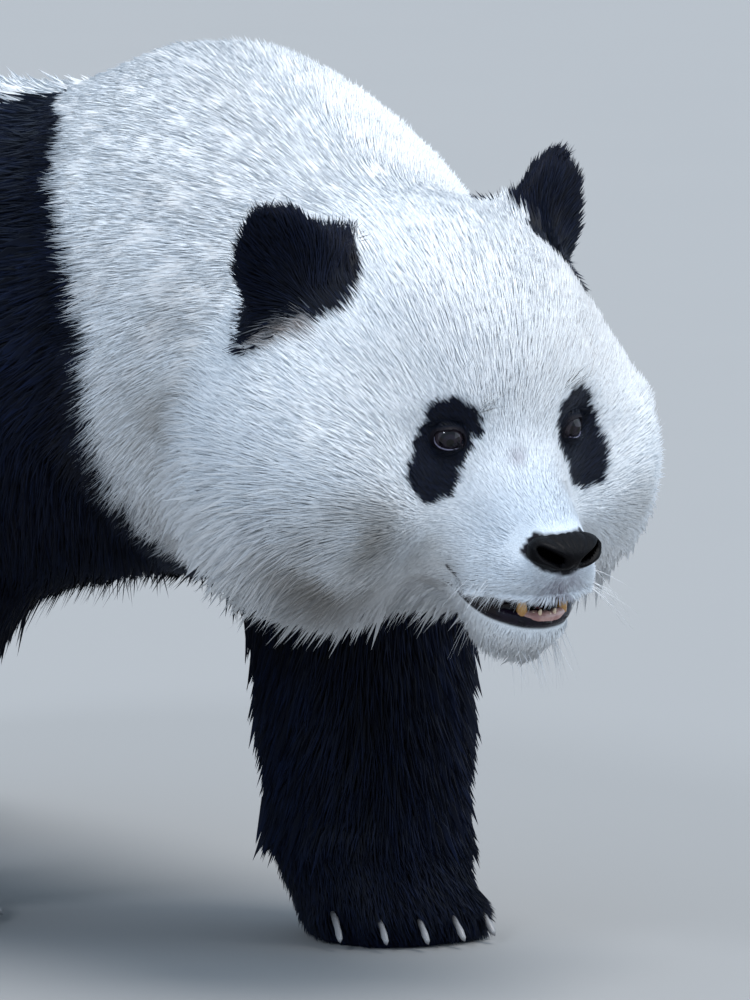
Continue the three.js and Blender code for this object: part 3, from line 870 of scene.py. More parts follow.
def markings(points, shares, colours):
    """The coat's colour at points of the skin, with painted shade on the muzzle's top and under the
    right cheek.
    """
    h = HEAD.local(points)
    ragged = points + 0.006 * ripples(points, 0.012, 3)
    dark = np.zeros(len(points))
    for node, share in shares.items():
        if node.startswith(("foreleg", "hindleg", "forepaw", "hindpaw")):
            dark = dark + share
    trunk = 1 - shares["head"] - shares["jaw"]
    dark = np.clip(dark, 0, 1)
    dark = np.maximum(dark, band_share(ragged - np.array(SHOULDERS)) * np.clip(trunk, 0, 1))
    dark = np.maximum(dark, patch_share(HEAD.local(points + 0.003 * ripples(points, 0.005, 5))))
    ears = ear_share(h) + shares["ear_left"] + shares["ear_right"]
    dark = np.maximum(dark, np.clip(ears, 0, 1))
    # Real stains, which on the right cheek and jowl also paint the shade under the cheek.
    tan = np.zeros(len(points))
    for centre, radius, strength in TAN_STAINS_AND_SHADE:
        tan = np.maximum(tan, strength * near(h, centre, radius))
    tan *= np.clip(0.75 + 0.6 * ripple(points, 0.022, 21), 0, 1)
    tan = np.maximum(tan, 0.10 * np.clip(ripple(points, 0.05, 23) + 0.2, 0, 1))
    rust = np.zeros(len(points))
    for side in (-1, 1):
        for along in (0.0, 0.5, 1.0):
            spot = between(*np.array(RUST), along)
            rust = np.maximum(rust, near(h, spot * (1, side, 1), 0.019))
    bridge = 0.55 * near(h, BRIDGE_SPOT, 0.012)
    # Painted sky-lit shade, with the dark skin showing through: the muzzle's top is tinted blue-grey.
    thin = 0.75 * near(h, SPARSE_FUR_SKY_SHADE_AT, 0.090) * (h[:, 0] > 0.09)
    grey = 0.95 * near(h, MUZZLE_GREY, 0.032) * np.clip(0.7 + 0.8 * ripple(points, 0.003, 27), 0, 1)
    tone = np.tile(np.array(colours.white), (len(points), 1))
    tone = between(tone, np.array(SPARSE_FUR_SKY_SHADE_TONE), thin[:, None])
    tone = between(tone, np.array(colours.tan), tan[:, None])
    tone = between(tone, np.array(GREY_TONE), np.maximum(grey, bridge)[:, None])
    tone = between(tone, np.array(colours.rust), (0.85 * rust)[:, None])
    dark = dark * (1 - 0.8 * rust)
    return between(tone, np.array(colours.black), dark[:, None]), dark


# ---------------------------------------------------------------- shaping the face


def smooth_max(a, b, k):
    h = np.maximum(k - np.abs(a - b), 0) / k
    return np.maximum(a, b) + h * h * k / 4


# An eye's opening: the upper lid is highest towards the nose, and the lower lid lowest away from it.
UPPER_LID, UPPER_SKEW = 1.05, -0.25
LOWER_LID, LOWER_SKEW = 0.74, 0.42
ROUNDNESS = 0.54


def lid_height(t, above, face):
    """How far a lid's edge would be from the line between the eye's corners, if that were level."""
    t = np.clip(t, -1.3, 1.3)
    upper, lower = UPPER_LID + UPPER_SKEW * t, LOWER_LID + LOWER_SKEW * t
    return face.opening[1] * np.where(above > 0, upper, lower)


def across_lids(y, z, side, face):
    """Places across an eye, above the line between its corners: s is 1 at the lids' edges."""
    out = y * side
    along = out * math.cos(face.tilt) + z * math.sin(face.tilt)
    above = z * math.cos(face.tilt) - out * math.sin(face.tilt)
    t = along / face.opening[0]
    return above, t**2 + (np.abs(above) / lid_height(t, above, face)) ** (1 / ROUNDNESS)


CREASE = {"at": 2.2, "wide": 0.35, "deep": 0.0011}
LID_REACH = 0.030


def shape_lids(points, face):
    """Lays the skin round each eye as lids, and takes it behind the eye in the opening."""
    for name, side in SIDES.items():
        eye = EYES[name]
        q = eye.local(points)
        x, y, z = q.T
        r = np.hypot(y, z)
        here = (r < LID_REACH) & (x > -0.016) & (x < 0.024)
        above, s = across_lids(y, z, side, face)
        ball = np.sqrt(np.maximum(EYE_RADIUS**2 - r * r, 0))
        lid = np.sqrt(np.maximum((EYE_RADIUS + face.lid) ** 2 - r * r, 0))
        base = x - 0.0015 * ramp(LID_REACH, 0.016, r)
        over = smooth_max(base, lid, 0.005)
        fold = np.exp(-(((s - CREASE["at"]) / CREASE["wide"]) ** 2)) * ramp(-0.001, 0.003, above)
        over = over - CREASE["deep"] * fold
        over = over + 0.0004 * np.exp(-(((s - 1.22) / 0.14) ** 2))
        behind = np.maximum(ball - 0.0025, lid - 0.0042)
        target = between(over, behind, ramp(1.10, 0.98, s))
        q[:, 0] = np.where(here, target, x)
        points = np.where(here[:, None], eye.world(q), points)
    return points


def bare_shares(points, face):
    """1 where the skin is bare: at the lids, the nose, the lip and in the mouth, where it's wet."""
    bare = np.zeros(len(points))
    for name, side in SIDES.items():
        x, y, z = EYES[name].local(points).T
        s = across_lids(y, z, side, face)[1]
        close = (np.hypot(y, z) < LID_REACH) & (x > -0.012)
        bare = np.maximum(bare, ramp(1.75, 1.45, s) * close)
    h = HEAD.local(points)
    mouth = in_mouth(h, 0.0012) & (np.abs(h[:, 1]) < 0.06)
    wet = mouth.astype(float)
    ahead, pad = over_pad(h)
    on_pad = ramp(1.08, 0.96, pad) * (ahead > -0.012)
    return np.maximum.reduce([bare, wet, on_pad, lip_band(h)]), wet


def lip_band(h):
    """1 on the bare lower lip, along the mouth from corner to corner."""
    down = lips(h[:, 0])[1] - h[:, 2]
    ahead = ramp(MOUTH["ahead"] - 0.014, MOUTH["ahead"] + 0.004, h[:, 0])
    deep = BARE_LIP * ahead
    aside = np.abs(h[:, 1]) < 0.06
    band = ramp(deep + 0.0012, deep - 0.0012, down) * (down > -0.003) * aside * (ahead > 0.02)
    low, high = np.array(LIP_CREASE)
    spot = np.stack([h[:, 0], np.abs(h[:, 1]), h[:, 2]], axis=1)
    run = high - low
    t = np.clip((spot - low) @ run / (run @ run), 0, 1)
    off = np.linalg.norm(spot - low - t[:, None] * run, axis=1)
    return np.maximum(band, ramp(0.0050, 0.0025, off))


TUFT_SHOWS = 0.6  # how far along a tuft
# Where the skin has finer faces: over the face and at the mouth, in the head's axes, and within
# these distances of an eye, first at the mouth's cell and then at half of it.
FINE_FACE = {"ahead": 0.035, "aside": 0.115, "away": 0.135}
FINE_MOUTH = {"ahead": 0.095, "aside": 0.055, "below": -0.060}
FINE_EYES = (0.027, 0.0195)


def near_eyes(points, reach):
    """Where points lie within reach of an eye's middle."""
    away = [np.linalg.norm(points - np.array(eye.origin), axis=1) for eye in EYES.values()]
    return np.minimum(*away) < reach


class PANDA_OT_skin(bpy.types.Operator):
    """Make one skin inside all the nodes of flesh, with lids, lips and the coat's markings"""

    bl_idname = "panda.skin"
    bl_label = "Skin"

    def execute(self, context):
        coat, face, colours = (getattr(context.scene, f"panda_{k}") for k in ("coat", "face", "colours"))
        mesh = remeshed(joined_flesh(), coat.cell)
        surface = Surface(mesh)
        shares = region_shares(surface.points)
        rounds = lie_of(surface, shares)[:, 5]
        surface.move(surface.spread(surface.points, rounds))
        for whole_face in (True, False):
            surface = self.finer(surface, whole_face)
        shares = region_shares(surface.points)
        table = lie_of(surface, shares)
        self.sink(surface, table[:, 1])
        surface.move(shape_lids(surface.points, face))
        self.record_coat(surface, shares, table, face, colours)
        self.finish(thinned(surface.mesh))
        return {"FINISHED"}

    @staticmethod
    def finer(surface, whole_face):
        """Finer faces over the whole face, or only at the eyes and mouth."""
        points = surface.points
        ahead, aside, up = HEAD.local(points).T
        if whole_face:
            inside = (ahead > FINE_FACE["ahead"]) & (np.abs(aside) < FINE_FACE["aside"])
            refine(surface.mesh, inside & (np.abs(up) < FINE_FACE["away"]))
        else:
            inside = (ahead > FINE_MOUTH["ahead"]) & (np.abs(aside) < FINE_MOUTH["aside"])
            inside &= up < FINE_MOUTH["below"]
            refine(surface.mesh, inside | near_eyes(points, FINE_EYES[0]))
            finest = Surface(surface.mesh)
            refine(finest.mesh, near_eyes(finest.points, FINE_EYES[1]))
        finer = Surface(surface.mesh)
        fresh = np.zeros(len(finer.points))
        fresh[len(points) :] = 1
        finer.move(finer.spread(finer.points, 2 * np.clip(finer.spread(fresh, 2) * 2, 0, 1)))
        return finer

    @staticmethod
    def sink(surface, depth):
        """Takes the skin in from the tips of the coat, except at the soles and in the mouth."""
        points = surface.points
        mouth = in_mouth(HEAD.local(points), 0.003).astype(float)
        depth = depth * ramp(0.002, 0.035, points[:, 2]) * (1 - surface.spread(mouth, 2))
        ahead, pad = over_pad(HEAD.local(points))
        depth += PAD_HOLLOW * ramp(0.95, 0.6, pad) * (ahead > -0.020)
        depth = surface.spread(depth, 3)
        moved = points - surface.normals() * depth[:, None]
        surface.move(moved)
        moved = surface.spread(moved, 2 * ramp(0.002, 0.01, points[:, 2]) * (1 - mouth))
        moved[:, 2] = np.maximum(moved[:, 2], 0)
        surface.move(moved)

    @staticmethod
    def record_coat(surface, shares, table, face, colours):
        """Keeps how the coat lies, and its colours, on the skin."""
        pale, dark = markings(surface.points, shares, colours)
        bare, wet = bare_shares(surface.points, face)
        tone = between(pale * 0.86, np.array(colours.black), dark[:, None])
        tone = between(tone, np.array(colours.lip), (bare * (1 - wet))[:, None])
        tone = between(tone, np.array(colours.lip) * (0.9, 0.5, 0.5), wet[:, None])
        set_attribute(surface.mesh, "coat", np.column_stack([tone, np.ones(len(tone))]))
        lie = lie_directions(surface, shares)
        # A tuft shows the colour of the place that it lies over, more than that of its root.
        shown = surface.points + lie * (TUFT_SHOWS * table[:, :1])
        pale, dark = markings(shown, shares, colours)
        set_attribute(surface.mesh, "pale", pale)
        set_attribute(surface.mesh, "lie", lie)
        numbers = {"bare": bare, "wet": wet, "dark": dark}
        names = ("length", "depth", "stand", "width", "space", "rounds", "stray")
        numbers.update({name: table[:, n] for n, name in enumerate(names)})
        for name, values in numbers.items():
            set_attribute(surface.mesh, name, values)
        for group, starts in GROUPS.items():
            share = sum(v for node, v in shares.items() if node.startswith(starts))
            set_attribute(surface.mesh, "on_" + group, share + np.zeros(len(tone)))

    @staticmethod
    def finish(mesh):
        mesh.name = "skin"
        mesh.shade_smooth()
        skin = add_piece("skin", mesh, skin_material(), FLESH)
        bpy.context.view_layer.objects.active = skin
        skin.select_set(True)
        bpy.ops.object.mode_set(mode="EDIT")
        bpy.ops.mesh.select_all(action="SELECT")
        bpy.ops.uv.smart_project(angle_limit=math.radians(66), island_margin=0.001)
        bpy.ops.object.mode_set(mode="OBJECT")
        skin.select_set(False)


# ---------------------------------------------------------------- the coat

# Each group of regions has its own tufts, in pieces small enough to keep.
GROUPS = {
    "head": ("head", "jaw"),
    "ears": ("ear",),
    "neck": ("neck",),
    "chest": ("chest",),
    "belly": ("belly",),
    "rump": ("rump", "tail"),
    "foreleg_left": ("foreleg_left", "forepaw_left"),
    "foreleg_right": ("foreleg_right", "forepaw_right"),
    "hindleg_left": ("hindleg_left", "hindpaw_left"),
    "hindleg_right": ("hindleg_right", "hindpaw_right"),
}
DARK_GROUPS = ("ears", "chest", "foreleg", "hindleg")
PATCH_REACH = 0.0015  # half of a tuft's patch on its map
# A tuft is a bent sliver with four corners: its root, its left and right, and its tip.
TUFT_FACES = ((0, 2, 1), (2, 3, 1), (0, 1, 3), (0, 3, 2))
TUFT_MAP = ((0, -1), (-0.9, 0), (0.9, 0), (0, 1))
WIDEST = 0.42  # how far along it a tuft is widest


class Roots:
    """The tufts' roots, with what the skin says at each."""

    def __init__(self, mesh, budget, seed):
        rng = np.random.default_rng(seed)
        triangles = read(mesh.loops, "vertex_index", 1, np.int32).reshape(-1, 3)
        points = read(mesh.vertices, "co", 3)
        a, b, c = (points[triangles[:, n]] for n in range(3))
        area = np.linalg.norm(np.cross(b - a, c - a), axis=1) / 2
        names = ("bare", "dark", "length", "stand", "width", "space", "stray", "pale", "lie")
        numbers = {n: get_attribute(mesh, n) for n in names}
        face_of = {n: v[triangles].mean(axis=1) for n, v in numbers.items() if v.ndim == 1}
        middles = (a + b + c) / 3
        count = area / face_of["space"] ** 2 * (face_of["bare"] < 0.5) * (middles[:, 2] > SOLE / 3)
        count *= budget / len(TUFT_FACES) / count.sum()
        total = np.cumsum(count)
        number = int(total[-1])
        at = (np.arange(number) + rng.random(number)) / number * total[-1]
        self.face = np.minimum(np.searchsorted(total, at), len(triangles) - 1)
        u, v = rng.random((2, number))
        over = u + v > 1
        u, v = np.where(over, 1 - u, u), np.where(over, 1 - v, v)
        self.shares = np.stack([1 - u - v, u, v], axis=1)
        self.corners = triangles[self.face]
        numbers["normal"] = read(mesh.vertex_normals, "vector", 3)
        for group in GROUPS:
            numbers["on_" + group] = get_attribute(mesh, "on_" + group)
        self.values = {n: self.at_roots(v) for n, v in numbers.items()}
        self.values["point"] = self.at_roots(points)
        maps = read(mesh.uv_layers.active.uv, "vector", 2).reshape(-1, 3, 2)
        self.values["map"] = (maps[self.face] * self.shares[:, :, None]).sum(axis=1)
        self.values["chance"] = rng.random((number, 8))

    def at_roots(self, values):
        weights = self.shares if values.ndim == 1 else self.shares[:, :, None]
        return (values[self.corners] * weights).sum(axis=1)

    def some(self, chosen):
        return {name: values[chosen] for name, values in self.values.items()}


def tuft_shape(root, coat):
    """The corners of a batch of tufts: the root, left, right and tip of each, and its ways."""
    point, normal, chance = root["point"], unit(root["normal"]), root["chance"]
    stray = 0.25 * ripples(point, 0.012, 41) + 0.30 * ripples(point, 0.040, 51)
    stray += 0.9 * (chance[:, :3] - 0.5)
    long = ramp(0.012, 0.034, root["length"])
    way = unit(root["lie"] + coat.unruly * stray * 1.6 * root["stray"][:, None])
    way = unit(way - normal * (way * normal).sum(axis=1, keepdims=True))
    length = root["length"] * coat.fullness
    length = length * (0.72 + 0.18 * ripple(point, 0.017, 61) + 0.50 * chance[:, 3])
    straggling = (chance[:, 4] > 0.93) * long
    length = length * (1 + 0.40 * straggling)
    stand = np.radians(root["stand"]) * (0.78 + 0.15 * ripple(point, 0.015, 71) + 0.46 * chance[:, 5])
    steep, flat = stand * 1.25, stand * 0.60
    first = way * np.cos(steep)[:, None] + normal * np.sin(steep)[:, None]
    second = way * np.cos(flat)[:, None] + normal * np.sin(flat)[:, None]
    second = unit(second + 0.35 * coat.unruly * ripples(point, 0.008, 81))
    second[:, 2] -= (0.12 + 0.4 * straggling) * long * (normal[:, 2] < 0.45)
    second = unit(second)
    width = root["width"] * (0.70 + 0.60 * chance[:, 6]) * (1 - 0.40 * straggling)
    side = unit(np.cross(normal, way)) * width[:, None] / 2
    start = point - normal * np.minimum(0.0015, 0.08 * length)[:, None]
    middle_of = start + first * (WIDEST * length)[:, None]
    tip = middle_of + second * ((1.02 - WIDEST) * length)[:, None]
    corners = np.stack([start, middle_of + side, middle_of - side, tip], axis=1)
    corners[:, :, 2] = np.maximum(corners[:, :, 2], 0.0006)
    return corners, unit(side), normal, second


def tuft_tones(root, black):
    """Each corner's colour: roots are darker, and tufts differ from their neighbours. Darker pale tufts
    are bluer, as painted cool shade, and the dark tufts' tips are lighter and bluer, as a painted sheen.
    """
    chance, point = root["chance"], root["point"]
    along = np.array((0.0, WIDEST, WIDEST, 1.0))[None, :, None]
    shade = 0.93 + 0.10 * chance[:, 7] ** 0.7 + 0.03 * ripple(point, 0.006, 91)
    # Darker tufts keep more of their blue: painted cool shade between the hairs.
    pale = root["pale"] * between(shade[:, None], 1, np.array((0.0, 0.12, 0.30)))
    # Pale tufts at the dark markings turn darker and bluer: partly the dark fur showing through, partly
    # painted cool shade.
    pale = pale * (1 - np.array((0.55, 0.47, 0.38)) * root["dark"][:, None])
    pale = pale[:, None] * (0.93 + 0.09 * along)
    # The dark tufts grow lighter and much bluer towards their tips: a painted sheen of the sky's light.
    dark = np.array(black) * (0.5 + 1.0 * chance[:, 7:8] ** 2)
    dark = dark[:, None] * (0.6 + np.array((1.0, 1.3, 2.0)) * along**2)
    is_dark = root["dark"] > 0.2 + 0.6 * chance[:, 2]
    tone = np.where(is_dark[:, None, None], dark, pale)
    return np.concatenate([np.clip(tone, 0, 0.95), np.ones((*tone.shape[:2], 1))], axis=2)


def tufts(root, coat, black):
    """A batch of tufts as arrays: corners, triangles, maps, colours and normals."""
    corners, side, normal, way = tuft_shape(root, coat)
    number, each = corners.shape[:2]
    triangles = np.arange(number)[:, None, None] * each + np.array(TUFT_FACES)[None]
    maps = root["map"][:, None] + PATCH_REACH * np.array(TUFT_MAP)[None]
    lean = np.array((0.0, 0.22, -0.22, 0.0))[None, :, None]
    soft = normal[:, None] + side[:, None] * lean
    soft[:, -1] += 0.2 * way
    arrays = (corners, triangles, maps, tuft_tones(root, black), soft)
    return [values.reshape(-1, values.shape[-1]) for values in arrays]


def mesh_from(name, points, triangles, maps, tone, soft):
    """A mesh of tufts, with its map, colours and soft normals."""
    mesh = bpy.data.meshes.new(name)
    mesh.vertices.add(len(points))
    write(mesh.vertices, "co", points)
    mesh.loops.add(triangles.size)
    mesh.loops.foreach_set("vertex_index", np.ascontiguousarray(triangles.ravel(), np.int32))
    mesh.polygons.add(len(triangles))
    starts = np.arange(0, triangles.size, 3, dtype=np.int32)
    mesh.polygons.foreach_set("loop_start", starts)
    mesh.update(calc_edges=True)
    layer = mesh.uv_layers.new(name="OFBake")
    write(layer.uv, "vector", maps[triangles.ravel()])
    set_attribute(mesh, "coat", tone)
    mesh.shade_smooth()
    mesh.normals_split_custom_set_from_vertices(unit(soft).astype(np.float32))
    return mesh


class PANDA_OT_coat(bpy.types.Operator):
    """Cover the skin with tufts of fur that follow the lie of the coat"""

    bl_idname = "panda.coat"
    bl_label = "Coat"

    def execute(self, context):
        coat, colours = context.scene.panda_coat, context.scene.panda_colours
        skin = bpy.data.objects.get("skin")
        if skin is None:
            raise RuntimeError("the skin comes before the coat")
        budget = coat.triangles
        roots = Roots(skin.data, budget, coat.seed)
        owner = np.argmax([roots.values["on_" + g] for g in GROUPS], axis=0)
        materials = {
            "white_coat": fur_material("panda_pale_fur", 0.2, 0.10),
            "black_coat": fur_material("panda_dark_fur", 0.12, 0.02),
        }
        for number, group in enumerate(GROUPS):
            chosen = np.nonzero(owner == number)[0]
            slot = "black_coat" if group.startswith(DARK_GROUPS) else "white_coat"
            self.pieces(f"coat_{group}", roots, chosen, coat, colours, slot, materials)
        for name in [a.name for a in skin.data.attributes if a.name in SCAFFOLD or a.name[:3] == "on_"]:
            skin.data.attributes.remove(skin.data.attributes[name])
        return {"FINISHED"}

    @staticmethod
    def pieces(name, roots, chosen, coat, colours, slot, materials):
        """The tufts chosen, split from the animal's right to its left where they are too many."""
        if len(chosen) < 20:
            return
        parts = math.ceil(len(chosen) * len(TUFT_FACES) / PIECE_LIMIT)
        order = chosen[np.argsort(roots.values["point"][chosen, 1], kind="stable")]
        for part, some in enumerate(np.array_split(order, parts)):
            full = name if parts == 1 else f"{name}_{part + 1}"
            arrays = tufts(roots.some(some), coat, colours.black)
            add_piece(full, mesh_from(full, *arrays), materials[slot])


SCAFFOLD = ("pale", "lie", "dark", "length", "depth", "stand", "width", "space", "rounds", "stray")


# ---------------------------------------------------------------- eyes, nose and mouth


def bmesh_points(bm):
    return np.array([v.co[:] for v in bm.verts])


def place_points(bm, points):
    for vertex, point in zip(bm.verts, points):
        vertex.co = point


def add_ring(bm, at, sides, radius, end, last):
    """Adds a ring, capped if it is at an end, and joins it to the edges of the last one."""
    made = bmesh.ops.create_circle(bm, cap_ends=end, segments=sides, radius=radius, matrix=at)
    edges = list({e for v in made["verts"] for e in v.link_edges})
    if last:
        bmesh.ops.bridge_loops(bm, edges=last + edges)
    return edges


def relax(bm, factor, rounds):
    """Evens out a bmesh."""
    for _ in range(rounds):
        bmesh.ops.smooth_vert(
            bm, verts=bm.verts, factor=factor, use_axis_x=True, use_axis_y=True, use_axis_z=True
        )


def rolled(name, path, sizes, sides=14):
    """A closed roll along a path: sizes are its half-width across and half-height at each place."""
    path = np.array(path, float)
    ways = unit(np.gradient(path, axis=0))
    bm = bmesh.new()
    last = None
    for n, (place, way, (across, high)) in enumerate(zip(path, ways, sizes)):
        left = Vector(np.cross((0, 0, 1), way)).normalized()
        up = Vector(way).cross(left)
        turn = Matrix((left * across, up * high, way)).transposed().to_4x4()
        at = Matrix.Translation(place) @ turn
        last = add_ring(bm, at, sides, 1, n in (0, len(path) - 1), last)
    return mesh_of(bm, name)


CORNEA = {"radius": 0.0083, "rise": 0.0011}
# Two tones for each kind of bare skin whose colour the settings leave alone.
# The lower lids' wet rims are a light lavender-grey: a painted reflection of the sky, under a real
# gloss.
LID_RIM_PAINTED_SHEEN = ((0.10, 0.095, 0.15), (0.18, 0.165, 0.23))
CARUNCLE = ((0.05, 0.03, 0.04), (0.09, 0.06, 0.07))
LEATHER = ((0.0006, 0.0006, 0.0011), (0.0016, 0.0013, 0.0022))
TONGUE = ((0.10, 0.025, 0.03), (0.17, 0.05, 0.05))
LIP_SECOND, GUM_SECOND = (0.010, 0.006, 0.014), (0.52, 0.31, 0.27)


class PANDA_OT_eyes(bpy.types.Operator):
    """Make the eyes, with a bulging cornea, and the wet line along each lower lid, coloured light as a
    painted reflection
    """

    bl_idname = "panda.eyes"
    bl_label = "Eyes"

    def execute(self, context):
        face, colours = context.scene.panda_face, context.scene.panda_colours
        material = eye_material(face, colours)
        # The tear line's light colour is a painted reflection.
        rim = bare_material("panda_lid_rim", *LID_RIM_PAINTED_SHEEN, 0.2, 0.8, 900, 1e-4)
        wet = bare_material("panda_caruncle", *CARUNCLE, 0.1, 1.0, 900, 1e-4)
        for name, side in SIDES.items():
            add_piece(f"eye_{name}", self.ball(EYES[name], name), material, [f"eye_{name}"])
            line = self.tear_line(EYES[name], side, face)
            add_piece(f"tear_line_{name}", line, rim)
            add_piece(f"caruncle_{name}", self.caruncle(EYES[name], side, face), wet)
        return {"FINISHED"}

    @staticmethod
    def ball(eye, name):
        bm = bmesh.new()
        bmesh.ops.create_uvsphere(bm, u_segments=48, v_segments=40, radius=EYE_RADIUS)
        shape = bmesh_points(bm)[:, [2, 0, 1]]
        off = np.linalg.norm(shape[:, 1:], axis=1)
        bulge = np.where(shape[:, 0] > 0, ramp(CORNEA["radius"], 0.0, off), 0)
        shape[:, 0] += CORNEA["rise"] * bulge
        place_points(bm, eye.world(shape))
        mesh = mesh_of(bm, f"eye_{name}")
        set_attribute(mesh, "off_axis", np.where(shape[:, 0] > 0, off, 2 * EYE_RADIUS - off))
        return mesh

    @staticmethod
    def tear_line(eye, side, face):
        path = []
        for t in np.linspace(-0.80, 0.97, 25):
            along = t * face.opening[0]
            above = -float(lid_height(t, -1, face)) * (1 - t**2) ** ROUNDNESS
            out = along * math.cos(face.tilt) - above * math.sin(face.tilt)
            z = along * math.sin(face.tilt) + above * math.cos(face.tilt)
            rest = (EYE_RADIUS + face.lid * 0.6) ** 2 - out**2 - z**2
            path.append((math.sqrt(max(rest, 1e-6)), out * side, z))
        taper = np.sin(np.linspace(0.12, math.pi - 0.12, 25)) ** 0.5
        return rolled("tear_line", eye.world(path), [(0.0007 * t, 0.0006 * t) for t in taper], 8)

    @staticmethod
    def caruncle(eye, side, face):
        """The small wet bump in the eye's inner corner."""
        along = -face.opening[0] * 0.98
        place = (0.0052, along * math.cos(face.tilt) * side, along * math.sin(face.tilt))
        bm = bmesh.new()
        bmesh.ops.create_icosphere(bm, subdivisions=3, radius=0.0015)
        place_points(bm, bmesh_points(bm) * (1.0, 1.0, 0.75) + eye.world([place])[0])
        return mesh_of(bm, "caruncle")


NOSTRIL = {"across": 0.0162, "up": 0.0028, "slope": 0.40, "deep": 0.0120, "long": 0.0098, "high": 0.0036}
NOSTRIL_SHADOW_FROM = 0.4  # the share of its depth from which a nostril is painted black, as painted shadow
# Black with no reflection: painted shadow deep in the nostrils.
NOSTRIL_PAINTED_SHADOW = {"Base Color": (0.0002, 0.0002, 0.0003, 1), "Roughness": 1.0, "Specular IOR Level": 0.0}


class PANDA_OT_nose(bpy.types.Operator):
    """Make the nose pad: broad and flat above, narrow below, with comma-shaped nostrils"""

    bl_idname = "panda.nose"
    bl_label = "Nose"

    def execute(self, context):
        bm = bmesh.new()
        bmesh.ops.create_icosphere(bm, subdivisions=6, radius=1)
        shape, hole = self.pad(bmesh_points(bm))
        place_points(bm, HEAD.world(shape + NOSE_PLACE))
        mesh = mesh_of(bm, "nose")
        leather = bare_material("panda_nose", *LEATHER, 0.38, 0.03, 1500, 4e-4)
        add_piece("nose", mesh, leather, ["nose"])
        # The nostrils' depths take the painted shadow.
        mesh.materials.append(Shader("panda_nostril").finish(NOSTRIL_PAINTED_SHADOW))
        corners = read(mesh.loops, "vertex_index", 1, np.int32).reshape(-1, 3)
        inside = (hole[corners].mean(axis=1) > NOSTRIL_SHADOW_FROM).astype(np.int32)
        mesh.polygons.foreach_set("material_index", inside)
        return {"FINISHED"}

    @staticmethod
    def pad(ball):
        x, y, z = ball.T
        out = np.hypot(y, z)
        edge = pad_edge(y, z) / np.maximum(out, 1e-6)
        # The front is flatter than a ball's, and its edge is rounder.
        spread = out ** 0.8
        points = np.stack([NOSE_DEEP * x, y * edge * spread, z * edge * spread], axis=1)
        low = ramp(0.2, -1.0, z)
        points[:, 0] -= 0.0045 * low + 0.0030 * ramp(0.35, 1.0, z)
        front = ramp(0.0, 0.45, x)
        holes = np.zeros(len(points))
        for side in (-1, 1):
            out = points[:, 1] * side - NOSTRIL["across"]
            up = points[:, 2] - NOSTRIL["up"] - NOSTRIL["slope"] * out
            hole = np.exp(-((out / NOSTRIL["long"]) ** 4) - (up / NOSTRIL["high"]) ** 2)
            points[:, 0] -= NOSTRIL["deep"] * hole * front
            holes = np.maximum(holes, hole * front)
            rim = np.exp(-((out / NOSTRIL["long"]) ** 2) - ((up + 0.0060) / 0.0022) ** 2)
            points[:, 0] += 0.0013 * rim * front
        cleft = np.exp(-((points[:, 1] / 0.0016) ** 2)) * ramp(0.1, -0.4, z) * front
        points[:, 0] -= 0.0016 * cleft
        return points, holes


LIP_FROM = 0.112  # ahead in the head, where the lips' ends are
TEETH = {"ahead": 0.1555, "aside": 0.0165, "bow": 0.0075}
INCISORS = (0.0074, 0.0100, 0.0062, 0.0070, 0.0098, 0.0066)  # their heights, worn unevenly


def rim_of_jaw(skin, angles, drop, inward):
    """Places round the jaw just under the mouth, found on the skin from inside."""
    tree = BVHTree.FromPolygons(
        [v.co[:] for v in skin.vertices], [p.vertices[:] for p in skin.polygons]
    )
    start = np.array((LIP_FROM, 0.0, lips(LIP_FROM)[1] - drop))
    slope = -math.tan(math.radians(-MOUTH["lower"]))
    path = []
    for angle in angles:
        way = unit(np.array((math.cos(angle), math.sin(angle), slope * math.cos(angle))))
        hit = tree.ray_cast(Vector(HEAD.world(start)), Vector(HEAD.turned(way)), 0.08)[0]
        if hit is None:
            raise RuntimeError("the jaw's rim wasn't found")
        path.append(HEAD.local(np.array(hit[:])) - way * inward)
    path = np.array(path)
    for _ in range(3):
        path[1:-1] = (path[:-2] + 2 * path[1:-1] + path[2:]) / 4
    return path


def tooth(name, place, lean, height, radius, stained):
    """A pointed tooth on the jaw, in the head's axes."""
    bm = bmesh.new()
    steps = [(1.0, 0.0), (1.05, 0.2), (0.96, 0.45), (0.78, 0.7), (0.48, 0.9), (0.0, 1.0)]
    line = [bm.verts.new((wide * radius, 0, up * height)) for wide, up in steps]
    line = [bm.verts.new((0, 0, 0))] + line
    edges = [bm.edges.new(pair) for pair in zip(line, line[1:])]
    turn = {"cent": (0, 0, 0), "axis": (0, 0, 1), "angle": 2 * math.pi, "steps": 16}
    bmesh.ops.spin(bm, geom=line + edges, use_merge=True, **turn)
    bmesh.ops.remove_doubles(bm, verts=bm.verts, dist=1e-6)
    bmesh.ops.subdivide_edges(bm, edges=bm.edges, cuts=1, smooth=0.6, use_grid_fill=True)
    shape = bmesh_points(bm)
    up = shape[:, 2] / height
    shape[:, :2] += np.array(lean) * (up**1.6)[:, None] * height
    place_points(bm, HEAD.world(shape + np.array(place)))
    mesh = mesh_of(bm, name)
    set_attribute(mesh, "along", np.clip(up, 0, 1))
    set_attribute(mesh, "stain", np.full(len(up), float(stained)))
    return mesh


